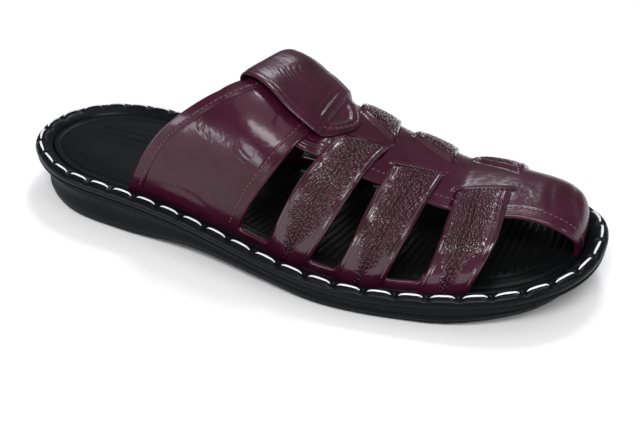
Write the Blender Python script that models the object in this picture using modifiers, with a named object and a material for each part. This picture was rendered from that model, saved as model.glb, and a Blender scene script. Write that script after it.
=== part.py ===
"""A slip-on sandal for the right foot: leather-look straps on a moulded sole.

Axes: +Y points to the toe, +X to the outer side of the foot, +Z up.
The origin is on the floor, under the middle of the sole.
The upper lies on a last, which is worked out from the sole's outline, the instep height
and a short table of sections. A place on the last is a section and an arc length from the
ridge of the instep, positive towards the outer side.
"""

from functools import lru_cache

import bmesh
import bpy
import numpy as np

# Driving dimensions, in metres
SOLE_LENGTH = 0.285
BALL_WIDTH = 0.100
HEEL_HEIGHT = 0.0272
BALL_HEIGHT = 0.0154
TOE_HEIGHT = 0.0251
ARCH_LIFT = 0.0044
TOE_SPRING = 0.0097
INSTEP_HEIGHT = 0.060
UPPER_WALL = 0.0022
CROSS_STRAP_WALL = 0.0026
LOOP_WALL = 0.0026
CENTRE_STRAP_WIDTH = 0.0475
LOOP_WIDTH = 0.033
TAB_LENGTH = 0.0132
RIM_WIDTH = 0.0090
RIM_ROLL = 0.0048
FLANGE_EDGE = 0.0018
FOOTBED_DROP = 0.0030
INSOLE_THICKNESS = 0.0032
INSOLE_EDGE_RADIUS = 0.0008
SOLE_EDGE_RADIUS = 0.0030
BASE_LIP_HEIGHT = 0.0072
CLEARANCE = 0.0003

# How deep one strap sinks into the next where they are joined, and how far the base lip
# stands proud of the wall on its inner face
STRAP_LAP = 0.0005
LIP_LAP = 0.0002
LOOP_FOLD_RADIUS = 0.0022
LOOP_OUTER_LIFT = 0.0008
LOOP_INNER_LIFT = 0.0012
FOOT_LIFT = 0.0002

# The rim's outline from above: share of the length, then medial and lateral reach as
# shares of the ball width
OUTLINE = (
    (0.000, -0.008, -0.008),
    (0.020, -0.190, 0.168),
    (0.060, -0.300, 0.275),
    (0.120, -0.365, 0.362),
    (0.200, -0.383, 0.400),
    (0.300, -0.372, 0.422),
    (0.420, -0.357, 0.469),
    (0.550, -0.405, 0.525),
    (0.650, -0.465, 0.533),
    (0.740, -0.497, 0.500),
    (0.830, -0.500, 0.444),
    (0.900, -0.461, 0.367),
    (0.955, -0.372, 0.251),
    (0.985, -0.275, 0.125),
    (1.000, -0.087, -0.087),
)

# Height of the rim over the ball's height: share of the length, share of the rise to the
# heel, share of the rise to the toe
RIM_TOP = (
    (0.00, 1.000, 0.000),
    (0.12, 0.975, 0.000),
    (0.28, 0.873, 0.000),
    (0.48, 0.458, 0.000),
    (0.66, 0.000, 0.000),
    (0.80, 0.000, 0.155),
    (0.92, 0.000, 0.598),
    (1.00, 0.000, 1.000),
)

# Height of the sole's underside: share of the length, share of the arch lift, share of
# the toe spring. Heel and forefoot are flat on the floor.
UNDERSIDE = (
    (0.00, 0.00, 0.00),
    (0.24, 0.00, 0.00),
    (0.40, 1.00, 0.00),
    (0.52, 0.62, 0.00),
    (0.62, 0.00, 0.00),
    (0.78, 0.00, 0.00),
    (0.90, 0.00, 0.52),
    (1.00, 0.00, 1.00),
)

# How far the sole's side lies in from the rim: share of the length, then the inset under
# the rim and at the foot of the side, as shares of the rim's width
SIDE_INSET = (
    (0.00, 0.38, 0.60),
    (0.06, 0.29, 0.42),
    (0.20, 0.24, 0.43),
    (0.50, 0.18, 0.44),
    (0.70, 0.13, 0.36),
    (0.90, 0.18, 0.48),
    (1.00, 0.26, 0.80),
)

# The side's own curve: share of its height, share of the way from its foot to the rim,
# and the depth of the groove as a share of the rim's width
SIDE_PROFILE = (
    (0.26, 0.28, 0.00),
    (0.46, 0.50, 0.09),
    (0.60, 0.66, 0.10),
    (0.78, 0.88, 0.00),
)

# The sole's lower edge: shares of its radius, inwards and upwards
LOWER_EDGE = (
    (1.00, 0.00),
    (0.29, 0.29),
    (0.00, 1.00),
)

# The rolled rim in section: share of its width in from the edge, share of its height
RIM_PROFILE = (
    (0.07, 0.00),
    (0.00, 0.24),
    (0.00, 0.52),
    (0.10, 0.84),
    (0.32, 1.00),
    (0.58, 0.90),
    (0.80, 0.64),
    (1.00, 0.36),
    (1.00, 0.00),
)

# Sections of the last: share of the length, tilt in degrees (90 is upright), ridge as a
# share of the ball width, height as a share of the instep height, squareness of the outer
# and of the inner side
LAST = (
    (0.210, 90, -0.050, 1.085, 3.2, 5.8),
    (0.333, 90, -0.050, 1.085, 3.2, 5.8),
    (0.456, 90, -0.015, 1.060, 3.3, 5.8),
    (0.526, 90, 0.020, 0.955, 3.1, 3.0),
    (0.614, 90, 0.008, 0.835, 2.9, 2.9),
    (0.702, 90, -0.065, 0.635, 2.8, 2.8),
    (0.789, 90, -0.120, 0.483, 2.7, 2.7),
    (0.842, 75, -0.135, 0.483, 2.6, 2.6),
    (0.867, 52, -0.140, 0.516, 2.5, 2.5),
    (0.877, 30, -0.155, 0.458, 2.5, 2.5),
    (0.884, 9, -0.170, 0.373, 2.5, 2.5),
)

# Sections of the last, counted from 0, between which its toe turns in to the rim's own
# curve, and between which it comes down to the channel's floor
TOE_TURN = (8.0, 9.6)
TOE_DROP = (9.4, 10.0)

# Edges of the straps as shares of the length, at these places from the base of the last,
# 0, to its ridge, 1
EDGE_PLACES = (0.00, 0.25, 0.50, 0.70, 0.82, 1.00)
BAND_REAR_OUTER = (0.245, 0.284, 0.343, 0.408, 0.442, 0.464)
BAND_REAR_INNER = (0.245, 0.287, 0.360, 0.455, 0.481, 0.464)
BAND_FRONT = (0.457, 0.488, 0.525, 0.550, 0.561, 0.570)
CROSS_STRAP_REAR = (
    (0.518, 0.545, 0.572, 0.592, 0.600, 0.610),
    (0.630, 0.659, 0.674, 0.680, 0.681, 0.682),
    (0.758, 0.778, 0.782, 0.780, 0.778, 0.775),
)
CROSS_STRAP_FRONT = (
    (0.579, 0.610, 0.636, 0.648, 0.653, 0.662),
    (0.700, 0.721, 0.736, 0.740, 0.742, 0.743),
    (0.825, 0.833, 0.835, 0.832, 0.831, 0.830),
)

# Where each cross strap enters its slot, as shares of the centre strap's half width: at
# the strap's rear edge, at its front edge
SLOTS = (
    (0.53, 0.18),
    (0.56, 0.30),
    (0.62, 0.40),
)

# Half lengths of the slopes at a slot and at the centre strap's edge
SLOT_SLOPE = 0.0022
BORDER_SLOPE = 0.0050

# The centre strap: section of the last, share of the half width
CENTRE_TAPER = (
    (2.4, 1.00),
    (6.6, 1.00),
    (7.2, 0.89),
    (8.0, 0.85),
    (8.5, 0.80),
    (9.2, 0.68),
    (10.0, 0.62),
)

# Shares of the length: where the centre strap starts under the band, and where it has
# come up in front of the band
CENTRE_START = 0.492
CENTRE_UP = (0.562, 0.588)

# The loop: shares of the length at its hidden end, its rear fold and its front bend, the
# slant of its fold, and how far its middle lies from the ridge at the fold and the bend
LOOP_RETURN = 0.489
LOOP_REAR = 0.4625
LOOP_FRONT = 0.566
LOOP_SLANT = 0.167
LOOP_SHIFT = (-0.0042, 0.0005)
TAB_END_SHARE = 0.96
TAB_ROUNDING = (1.7, 0.68)
TAB_DROP = 0.34

# Shares of the length between which the base lip joins the feet of the straps
LIP_ENDS = (0.262, 0.812)

# Grid counts
STATION_COUNT = 35
LAST_SAMPLES = 121
RIM_SAMPLES = 961
TOE_SAMPLES = 80
DENSE_COUNT = 401
BAND_GRID = (36, 8)
CROSS_GRID = (40, 4)
CENTRE_GRID = (10, 30)
LIP_GRID = (2, 26)
LOOP_COLUMNS = 8
LOOP_ROWS = (3, 6, 9, 6)

# How much finer a cross strap's grid is near the ridge than at its feet
CROSS_CROWDING = 0.55

# Steps along and across the last from which its slopes are taken
ROW_STEP = 0.02
ARC_STEP = 0.0005

SHARP_ANGLE = 0.6


def spline(knots, values, at, closed=False):
    """A cubic through the knots, natural at its ends or closed on itself."""
    knots = np.asarray(knots, float)
    values = np.asarray(values, float)
    flat = values.ndim == 1
    if flat:
        values = values[:, None]
    gap = np.diff(knots)
    slope = np.diff(values, axis=0) / gap[:, None]
    count = len(knots)
    system = np.zeros((count, count))
    right = np.zeros((count, values.shape[1]))
    for i in range(1, count - 1):
        system[i, i - 1 : i + 2] = gap[i - 1], 2 * (gap[i - 1] + gap[i]), gap[i]
        right[i] = 6 * (slope[i] - slope[i - 1])
    system[0, 0] = 1
    system[-1, -1] = 1
    if closed:
        system[0, -1] = -1
        system[-1, 0] = 2 * gap[0]
        system[-1, 1] = gap[0]
        system[-1, -2] = gap[-1]
        system[-1, -1] = 2 * gap[-1]
        right[-1] = 6 * (slope[0] - slope[-1])
    bend = np.linalg.solve(system, right)
    at = np.atleast_1d(np.asarray(at, float))
    cell = np.clip(np.searchsorted(knots, at, side="right") - 1, 0, count - 2)
    past = (at - knots[cell])[:, None]
    left = (knots[cell + 1] - at)[:, None]
    wide = gap[cell][:, None]
    curve = (bend[cell] * left**3 + bend[cell + 1] * past**3) / (6 * wide)
    curve += (values[cell] / wide - bend[cell] * wide / 6) * left
    curve += (values[cell + 1] / wide - bend[cell + 1] * wide / 6) * past
    return curve[:, 0] if flat else curve


def eased(table, index, at):
    """Reads a column smoothly, flat wherever two rows are equal and with no overshoot."""
    knots = column(table, 0)
    values = column(table, index)
    gap = np.diff(knots)
    slope = np.diff(values) / gap
    tangent = np.zeros(len(knots))
    tangent[0] = slope[0]
    tangent[-1] = slope[-1]
    for i in range(1, len(knots) - 1):
        if slope[i - 1] * slope[i] > 0:
            near = 2 * gap[i] + gap[i - 1]
            far = gap[i] + 2 * gap[i - 1]
            tangent[i] = (near + far) / (near / slope[i - 1] + far / slope[i])
    at = np.clip(np.asarray(at, float), knots[0], knots[-1])
    cell = np.clip(np.searchsorted(knots, at, side="right") - 1, 0, len(knots) - 2)
    wide = gap[cell]
    t = (at - knots[cell]) / wide
    rise = t * t * (3 - 2 * t)
    curve = values[cell] * (1 - rise) + values[cell + 1] * rise
    curve += wide * t * (1 - t) * ((1 - t) * tangent[cell] - t * tangent[cell + 1])
    return curve


def ramp(value, start, end):
    """Rises smoothly from 0 at start to 1 at end."""
    t = np.clip((value - start) / (end - start), 0, 1)
    return t * t * (3 - 2 * t)


def column(table, index, scale=1.0):
    return np.array([row[index] for row in table], float) * scale


def rim_outline():
    """The rim's edge from above, closed, from the heel's tip round the outer side."""
    lateral = column(OUTLINE, 2, BALL_WIDTH)
    medial = column(OUTLINE, 1, BALL_WIDTH)
    length = column(OUTLINE, 0, SOLE_LENGTH)
    across = np.concatenate([lateral, medial[::-1][1:]])
    along = np.concatenate([length, length[::-1][1:]])
    knots = np.stack([across, along], -1)
    place = path_length(knots)
    return spline(place, knots, np.linspace(0, place[-1], RIM_SAMPLES), closed=True)


def path_length(points):
    step = np.linalg.norm(np.diff(points, axis=0), axis=1)
    return np.concatenate([[0], np.cumsum(step)])


def inward_normals(points):
    ahead = np.roll(points[:-1], -1, axis=0) - np.roll(points[:-1], 1, axis=0)
    ahead /= np.linalg.norm(ahead, axis=1)[:, None]
    inward = np.stack([-ahead[:, 1], ahead[:, 0]], -1)
    return np.concatenate([inward, inward[:1]])


RIM = rim_outline()
INWARD = inward_normals(RIM)
MIDDLE = (RIM.min(axis=0) + RIM.max(axis=0)) / 2
UPPER_INSET = RIM_WIDTH + CLEARANCE + CROSS_STRAP_WALL
INSOLE_INSET = UPPER_INSET + LIP_LAP + CLEARANCE
FOOTBED_DEPTH = FOOTBED_DROP + INSOLE_THICKNESS


def inset(distance):
    """The rim's outline moved inwards by one distance, or by one for each of its points."""
    return RIM + INWARD * np.broadcast_to(distance, len(RIM))[:, None]


def rim_top(y):
    """Height of the rim's crest over the floor."""
    share = np.asarray(y, float) / SOLE_LENGTH
    heel = spline(column(RIM_TOP, 0), column(RIM_TOP, 1), share)
    toe = spline(column(RIM_TOP, 0), column(RIM_TOP, 2), share)
    return BALL_HEIGHT + heel * (HEEL_HEIGHT - BALL_HEIGHT) + toe * (TOE_HEIGHT - BALL_HEIGHT)


def underside(y):
    share = np.asarray(y, float) / SOLE_LENGTH
    return eased(UNDERSIDE, 1, share) * ARCH_LIFT + eased(UNDERSIDE, 2, share) * TOE_SPRING


def below_rim(depth):
    return lambda y: rim_top(y) - depth


def find_stations():
    """The rim's points that the lofts use, paired across the sole."""
    toe = int(RIM[:, 1].argmax())
    place = path_length(RIM)
    index = np.arange(len(RIM))
    share = np.linspace(0, 1, STATION_COUNT + 1)
    outer = np.interp(share * place[toe], place, index)
    inner = np.interp(place[toe] + share * (place[-1] - place[toe]), place, index)
    return np.concatenate([outer, inner[1:-1]]).round().astype(int)


STATIONS = find_stations()


def ring(distance, height):
    """A closed row of points at an inset from the rim, at a height that follows y."""
    flat = inset(distance)[STATIONS]
    return np.column_stack([flat, height(flat[:, 1])])


def placed(points):
    """Moves points from the outline's own axes to the part's, with the middle at 0."""
    return np.asarray(points, float) - np.array([MIDDLE[0], MIDDLE[1], 0.0])


def loft(bm, rings, closed=False):
    """Skins rings of points, one after the other."""
    rows = [[bm.verts.new(point) for point in placed(points)] for points in rings]
    pairs = list(zip(rows[:-1], rows[1:]))
    if closed:
        pairs.append((rows[-1], rows[0]))
    count = len(rows[0])
    for low, high in pairs:
        for i in range(count):
            j = (i + 1) % count
            bm.faces.new((low[i], low[j], high[j], high[i]))
    return rows


def close_across(bm, row):
    """Closes a ring with strips from the outer side to the inner side."""
    count = len(row)
    half = count // 2
    bm.faces.new((row[0], row[1], row[count - 1]))
    for i in range(1, half - 1):
        bm.faces.new((row[i], row[i + 1], row[count - i - 1], row[count - i]))
    bm.faces.new((row[half - 1], row[half], row[half + 1]))


def new_object(name, bm, material, collection):
    mesh = bpy.data.meshes.new(name)
    bm.to_mesh(mesh)
    bm.free()
    mesh.shade_smooth()
    mesh.set_sharp_from_angle(angle=SHARP_ANGLE)
    obj = bpy.data.objects.new(name, mesh)
    obj.data.materials.append(material)
    collection.objects.link(obj)
    return obj


def new_material(name, colour, roughness):
    material = bpy.data.materials.new(name)
    material.use_nodes = True
    shader = material.node_tree.nodes["Principled BSDF"]
    shader.inputs["Base Color"].default_value = (*colour, 1.0)
    shader.inputs["Roughness"].default_value = roughness
    shader.inputs["Metallic"].default_value = 0.0
    return material


def side_rings():
    """The outsole's side, from its flat underside up to the flange under the rim."""
    share = RIM[:, 1] / SOLE_LENGTH
    top = eased(SIDE_INSET, 1, share) * RIM_WIDTH
    foot = eased(SIDE_INSET, 2, share) * RIM_WIDTH
    depth = RIM_ROLL + CLEARANCE + FLANGE_EDGE
    rings = []
    for inwards, upwards in LOWER_EDGE:
        rise = upwards * SOLE_EDGE_RADIUS
        rings.append(ring(foot + inwards * SOLE_EDGE_RADIUS, lambda y, r=rise: underside(y) + r))
    for height, way, groove in SIDE_PROFILE:
        where = foot + (top - foot) * way + groove * RIM_WIDTH
        rings.append(ring(where, lambda y, h=height: side_height(y, h, depth)))
    rings.append(ring(top, below_rim(depth)))
    return rings


def side_height(y, share, depth):
    low = underside(y) + SOLE_EDGE_RADIUS
    return low + share * (rim_top(y) - depth - low)


def make_outsole(material, collection):
    """The moulded sole with its flange, the rim's seat and the channel for the straps."""
    bm = bmesh.new()
    rings = side_rings()
    seat = RIM_ROLL + CLEARANCE
    edge = RIM_PROFILE[0][0] * RIM_WIDTH
    rings.append(ring(edge, below_rim(seat + FLANGE_EDGE / 2)))
    rings.append(ring(edge, below_rim(seat)))
    rings.append(ring(RIM_WIDTH, below_rim(seat)))
    rings.append(ring(RIM_WIDTH, below_rim(FOOTBED_DEPTH + CLEARANCE)))
    rows = loft(bm, rings)
    close_across(bm, rows[0][::-1])
    close_across(bm, rows[-1])
    bmesh.ops.recalc_face_normals(bm, faces=bm.faces)
    return new_object("outsole", bm, material, collection)


def make_rim(material, collection):
    """The rolled rim that runs all round the footbed."""
    bm = bmesh.new()
    rings = []
    for inwards, upwards in RIM_PROFILE:
        rings.append(ring(inwards * RIM_WIDTH, below_rim(RIM_ROLL * (1 - upwards))))
    loft(bm, rings, closed=True)
    bmesh.ops.recalc_face_normals(bm, faces=bm.faces)
    return new_object("rim", bm, material, collection)


def make_insole(material, collection):
    bm = bmesh.new()
    radius = INSOLE_EDGE_RADIUS
    rings = [
        ring(INSOLE_INSET, below_rim(FOOTBED_DEPTH)),
        ring(INSOLE_INSET, below_rim(FOOTBED_DROP + radius)),
        ring(INSOLE_INSET + radius, below_rim(FOOTBED_DROP)),
    ]
    rows = loft(bm, rings)
    close_across(bm, rows[0][::-1])
    close_across(bm, rows[-1])
    bmesh.ops.recalc_face_normals(bm, faces=bm.faces)
    return new_object("insole", bm, material, collection)


LAST_ROWS = tuple((index, *row) for index, row in enumerate(LAST))
LAST_END = len(LAST) - 1
BASE = inset(UPPER_INSET)
BASE_TOE = int(BASE[:, 1].argmax())
DENSE_ROWS = np.linspace(0, LAST_END, DENSE_COUNT)
DENSE_ALONG = eased(LAST_ROWS, 1, DENSE_ROWS)


def row_of(along):
    """The section of the last, counted from 0, at a share of the length."""
    return float(np.interp(along, DENSE_ALONG, DENSE_ROWS))


def footing(y):
    """Height at which the upper ends, in the channel between rim and insole."""
    return rim_top(y) - FOOTBED_DEPTH + FOOT_LIFT


def base_sides(y):
    """The last's base at y: x on the outer side, x on the inner side."""
    start = SOLE_LENGTH * LAST[0][0] / 2
    outer = BASE[: BASE_TOE + 1]
    outer = outer[outer[:, 1] > start]
    inner = BASE[BASE_TOE:][::-1]
    inner = inner[inner[:, 1] > start]
    return np.interp(y, outer[:, 1], outer[:, 0]), np.interp(y, inner[:, 1], inner[:, 0])


def toe_base(arc):
    """Points of the last's base curve round the toe, by arc length from the ridge."""
    place = path_length(BASE)
    ridge = LAST[-1][2] * BALL_WIDTH
    near_toe = slice(BASE_TOE - TOE_SAMPLES, BASE_TOE + TOE_SAMPLES)
    middle = np.interp(-ridge, -BASE[near_toe, 0], place[near_toe])
    x = np.interp(middle - arc, place, BASE[:, 0])
    y = np.interp(middle - arc, place, BASE[:, 1])
    return np.column_stack([x, y, footing(y)])


@lru_cache(maxsize=None)
def last_section(row):
    """A section from the inner base over the ridge to the outer base, with arc lengths."""
    columns = (float(eased(LAST_ROWS, c, row)) for c in range(1, 7))
    along, tilt, ridge, height, outer_square, inner_square = columns
    y = along * SOLE_LENGTH
    ridge_x = ridge * BALL_WIDTH
    outer, inner = base_sides(y)
    angle = np.linspace(np.pi, 0, LAST_SAMPLES)
    cosine = np.cos(angle)
    reach = np.where(cosine > 0, outer - ridge_x, ridge_x - inner)
    square = np.where(cosine > 0, outer_square, inner_square)
    x = ridge_x + np.sign(cosine) * np.abs(cosine) ** (2 / square) * reach
    rise = np.abs(np.sin(angle)) ** (2 / square) * height * INSTEP_HEIGHT
    lean = np.radians(tilt)
    points = np.column_stack([x, y + rise * np.cos(lean), footing(y) + rise * np.sin(lean)])
    arc = path_length(points)
    arc -= arc[LAST_SAMPLES // 2]
    turn = ramp(row, *TOE_TURN)
    if turn > 0:
        base = toe_base(arc)
        drop = ramp(row, *TOE_DROP)
        points[:, :2] += (base[:, :2] - points[:, :2]) * turn
        points[:, 2] += (base[:, 2] - points[:, 2]) * drop
        arc = path_length(points)
        arc -= arc[LAST_SAMPLES // 2]
    return points, arc


def on_last(row, arc):
    points, place = last_section(round(row, 5))
    return np.array([np.interp(arc, place, points[:, axis]) for axis in range(3)])


def half_girth(row, side):
    place = last_section(round(row, 5))[1]
    return place[-1] if side > 0 else -place[0]


def last_axes(row, arc):
    """At a place on the last: the point, the way outwards and the way to the toe."""
    step = ROW_STEP if row < LAST_END - ROW_STEP else -ROW_STEP
    aside = ARC_STEP if arc < 0 else -ARC_STEP
    point = on_last(row, arc)
    ahead = (on_last(row + step, arc) - point) / step
    across = (on_last(row, arc + aside) - point) / aside
    outward = np.cross(across, ahead)
    return point, outward / np.linalg.norm(outward), ahead / np.linalg.norm(ahead)


def lifted(row, arc, lift):
    point, outward, _ = last_axes(row, arc)
    return point + outward * lift


def edge_at(edge, height):
    return float(spline(EDGE_PLACES, edge, height)[0])


def strap_grid(name, counts, place, wall, material, collection):
    """A grid laid on the last by a function of two shares, with the strap's thickness.

    The first share runs from the inner side to the outer side, the second to the toe.
    """
    bm = bmesh.new()
    bmesh.ops.create_grid(bm, x_segments=counts[0], y_segments=counts[1], size=0.5)
    for vert in bm.verts:
        vert.co = placed(place(vert.co.x + 0.5, vert.co.y + 0.5))
    obj = new_object(name, bm, material, collection)
    thickness = obj.modifiers.new("Wall", "SOLIDIFY")
    thickness.thickness = wall
    thickness.offset = 1.0
    thickness.use_even_offset = True
    thickness.use_quality_normals = True
    return obj


def across_place(share, rear, front, to_toe):
    """The place of a strap that crosses the last: its section, arc and height share."""
    side = 1 if share >= 0.5 else -1
    height = 1 - abs(2 * share - 1)
    along = edge_at(rear, height) * (1 - to_toe) + edge_at(front, height) * to_toe
    row = row_of(along)
    return row, side * (1 - height) * half_girth(row, side)


def band_point(share, to_toe):
    rear = BAND_REAR_OUTER if share >= 0.5 else BAND_REAR_INNER
    row, arc = across_place(share, rear, BAND_FRONT, to_toe)
    return on_last(row, arc)


def cross_strap_point(number, share, to_toe):
    """A cross strap lies on the last, climbs the centre strap's edge, and dips at its slots."""
    from_ridge = 2 * share - 1
    crowded = from_ridge * (CROSS_CROWDING + (1 - CROSS_CROWDING) * from_ridge**2)
    rear = CROSS_STRAP_REAR[number]
    front = CROSS_STRAP_FRONT[number]
    row, arc = across_place((crowded + 1) / 2, rear, front, to_toe)
    half = centre_half_width(row)
    at_rear, at_front = SLOTS[number]
    slot = half * (at_rear * (1 - to_toe) + at_front * to_toe)
    over = UPPER_WALL - STRAP_LAP
    under = CROSS_STRAP_WALL - STRAP_LAP
    up = ramp(-abs(arc), -half - BORDER_SLOPE, -half)
    down = ramp(-abs(arc), -slot - SLOT_SLOPE, -slot + SLOT_SLOPE)
    return lifted(row, arc, up * over - down * (over + under))


def centre_half_width(row):
    return float(eased(CENTRE_TAPER, 1, row)) * CENTRE_STRAP_WIDTH / 2


def centre_rows():
    """Sections of the last at equal steps along the centre strap's ridge."""
    dense = np.linspace(row_of(CENTRE_START), LAST_END, DENSE_COUNT)
    place = path_length(np.array([on_last(row, 0.0) for row in dense]))
    return np.interp(np.linspace(0, place[-1], CENTRE_GRID[1] + 1), place, dense)


def centre_strap_point(rows, share, to_toe):
    row = float(np.interp(to_toe, np.linspace(0, 1, len(rows)), rows))
    arc = (2 * share - 1) * centre_half_width(row)
    under = UPPER_WALL - STRAP_LAP
    start, end = (row_of(along) for along in CENTRE_UP)
    return lifted(row, arc, -under * (1 - ramp(row, start, end)))


def lip_point(side, share, to_toe):
    """The lip along the feet of the straps, on one side of the foot."""
    row = row_of(LIP_ENDS[0] + (LIP_ENDS[1] - LIP_ENDS[0]) * to_toe)
    up = 1 - share if side > 0 else share
    arc = side * (half_girth(row, side) - up * BASE_LIP_HEIGHT)
    return lifted(row, arc, -LIP_LAP)


def make_upper(material, collection, cutters):
    """Band, centre strap, cross straps and base lip, joined into one solid."""
    rows = centre_rows()
    upper = strap_grid("upper", BAND_GRID, band_point, UPPER_WALL, material, collection)
    pieces = [strap_grid(
        "centre_strap_form", CENTRE_GRID,
        lambda share, to_toe: centre_strap_point(rows, share, to_toe),
        UPPER_WALL, material, cutters,
    )]
    for number in range(len(SLOTS)):
        pieces.append(strap_grid(
            f"cross_strap_form_{number + 1}", CROSS_GRID,
            lambda share, to_toe, n=number: cross_strap_point(n, share, to_toe),
            CROSS_STRAP_WALL, material, cutters,
        ))
    for side, name in ((1, "outer"), (-1, "inner")):
        pieces.append(strap_grid(
            f"{name}_lip_form", LIP_GRID,
            lambda share, to_toe, s=side: lip_point(s, share, to_toe),
            UPPER_WALL + 2 * LIP_LAP, material, cutters,
        ))
    for piece in pieces:
        piece.hide_render = True
        piece.display_type = "WIRE"
        join = upper.modifiers.new(f"Join {piece.name}", "BOOLEAN")
        join.operation = "UNION"
        join.solver = "EXACT"
        join.object = piece
    return upper


def loop_shift(y):
    """How far the loop's middle lies from the ridge, positive towards the outer side."""
    return np.interp(y, (LOOP_REAR * SOLE_LENGTH, LOOP_FRONT * SOLE_LENGTH), LOOP_SHIFT)


def loop_point(share, step):
    """The loop's inner face: back under the band, round its rear edge and over it."""
    t = 2 * share - 1
    half = LOOP_WIDTH / 2
    arc = t * half
    fold_y = LOOP_REAR * SOLE_LENGTH - LOOP_SLANT * arc
    fold_row = row_of(fold_y / SOLE_LENGTH)
    middle = UPPER_WALL / 2
    edge = (LOOP_OUTER_LIFT if t > 0 else LOOP_INNER_LIFT) * t * t
    hidden, fold, top, tab = LOOP_ROWS
    if step < hidden:
        y = LOOP_RETURN * SOLE_LENGTH + (fold_y - LOOP_RETURN * SOLE_LENGTH) * step / hidden
        row = row_of(y / SOLE_LENGTH)
        return lifted(row, arc + loop_shift(y), middle - LOOP_FOLD_RADIUS)
    step -= hidden
    if step < fold:
        turn = np.pi * (1 - step / fold)
        point, outward, ahead = last_axes(fold_row, arc + loop_shift(fold_y))
        reach = LOOP_FOLD_RADIUS + edge * (1 - turn / np.pi)
        rise = middle + reach * np.cos(turn)
        return point + outward * rise - ahead * reach * np.sin(turn)
    step -= fold
    high = middle + LOOP_FOLD_RADIUS + edge
    if step < top:
        y = fold_y + (LOOP_FRONT * SOLE_LENGTH - fold_y) * step / top
        return lifted(row_of(y / SOLE_LENGTH), arc + loop_shift(y), high)
    way = (step - top) / tab
    y = LOOP_FRONT * SOLE_LENGTH + way * TAB_LENGTH
    narrow = (1 - (TAB_END_SHARE * way) ** TAB_ROUNDING[0]) ** TAB_ROUNDING[1]
    low = UPPER_WALL + CLEARANCE
    lift = high + (low - high) * ramp(way, 0.0, TAB_DROP)
    return lifted(row_of(y / SOLE_LENGTH), arc * narrow + loop_shift(y), lift)


def make_loop(material, collection):
    """The strap's end folded round the rear band, with its rounded tab in front."""
    count = sum(LOOP_ROWS)
    return strap_grid(
        "instep_loop", (LOOP_COLUMNS, count),
        lambda share, to_toe: loop_point(share, round(to_toe * count)),
        LOOP_WALL, material, collection,
    )


def new_collection(name):
    collection = bpy.data.collections.new(name)
    bpy.context.scene.collection.children.link(collection)
    return collection


def main():
    for obj in list(bpy.data.objects):
        bpy.data.objects.remove(obj, do_unlink=True)
    sandal = new_collection("slip_on_sandal")
    cutters = new_collection("joined_forms")
    leather = new_material("maroon_synthetic_leather", (0.055, 0.009, 0.016), 0.30)
    loop_leather = new_material("maroon_loop_leather", (0.055, 0.009, 0.016), 0.28)
    sole = new_material("black_polyurethane", (0.010, 0.011, 0.012), 0.45)
    rim = new_material("black_rim", (0.010, 0.010, 0.011), 0.35)
    footbed = new_material("black_footbed", (0.007, 0.007, 0.008), 0.40)
    make_outsole(sole, sandal)
    make_rim(rim, sandal)
    make_insole(footbed, sandal)
    make_upper(leather, sandal, cutters)
    make_loop(loop_leather, sandal)


main()
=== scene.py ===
"""Looks of a slip-on sandal for the right foot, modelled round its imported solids.

+Y points to the toe, +X to the outer side of the foot, +Z up, in metres. The straps lie on
a last, as in the solids: a place on it is a section, counted from the heel, and an arc
length from the ridge of the instep, positive towards the outer side.
"""

import math

import bmesh
import bpy
import numpy as np
from mathutils import Matrix, Vector


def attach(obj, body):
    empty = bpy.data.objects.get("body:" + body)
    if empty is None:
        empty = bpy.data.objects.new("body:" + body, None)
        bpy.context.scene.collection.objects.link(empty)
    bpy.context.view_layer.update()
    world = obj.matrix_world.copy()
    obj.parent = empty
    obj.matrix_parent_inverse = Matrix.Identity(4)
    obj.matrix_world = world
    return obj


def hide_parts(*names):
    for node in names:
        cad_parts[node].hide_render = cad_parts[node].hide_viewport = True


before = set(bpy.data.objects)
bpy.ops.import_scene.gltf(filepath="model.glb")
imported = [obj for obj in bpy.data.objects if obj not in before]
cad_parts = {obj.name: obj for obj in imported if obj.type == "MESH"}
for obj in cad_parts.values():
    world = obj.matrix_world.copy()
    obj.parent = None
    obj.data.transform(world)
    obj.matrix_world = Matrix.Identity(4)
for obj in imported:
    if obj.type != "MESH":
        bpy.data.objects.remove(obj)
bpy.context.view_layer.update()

bl_info = {
    "name": "Slip-on Sandal",
    "version": (1, 0, 0),
    "blender": (4, 5, 0),
    "location": "3D View > Sidebar > Sandal",
    "description": "Dresses the solids of a strappy slip-on sandal",
    "category": "Object",
}

# Driving dimensions, in metres, as in the solids
SOLE_LENGTH = 0.285
BALL_WIDTH = 0.100
HEEL_HEIGHT = 0.0272
BALL_HEIGHT = 0.0154
TOE_HEIGHT = 0.0251
ARCH_LIFT = 0.0044
TOE_SPRING = 0.0097
INSTEP_HEIGHT = 0.060
UPPER_WALL = 0.0022
CROSS_STRAP_WALL = 0.0026
LOOP_WALL = 0.0026
CENTRE_STRAP_WIDTH = 0.0475
LOOP_WIDTH = 0.033
TAB_LENGTH = 0.0132
RIM_WIDTH = 0.0090
RIM_ROLL = 0.0048
FLANGE_EDGE = 0.0018
FOOTBED_DROP = 0.0030
INSOLE_THICKNESS = 0.0032
SOLE_EDGE_RADIUS = 0.0030
CLEARANCE = 0.0003
STRAP_LAP = 0.0005
LIP_LAP = 0.0002
LOOP_FOLD_RADIUS = 0.0022
LOOP_OUTER_LIFT = 0.0008
LOOP_INNER_LIFT = 0.0012
FOOT_LIFT = 0.0002
MM = 0.001

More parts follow.
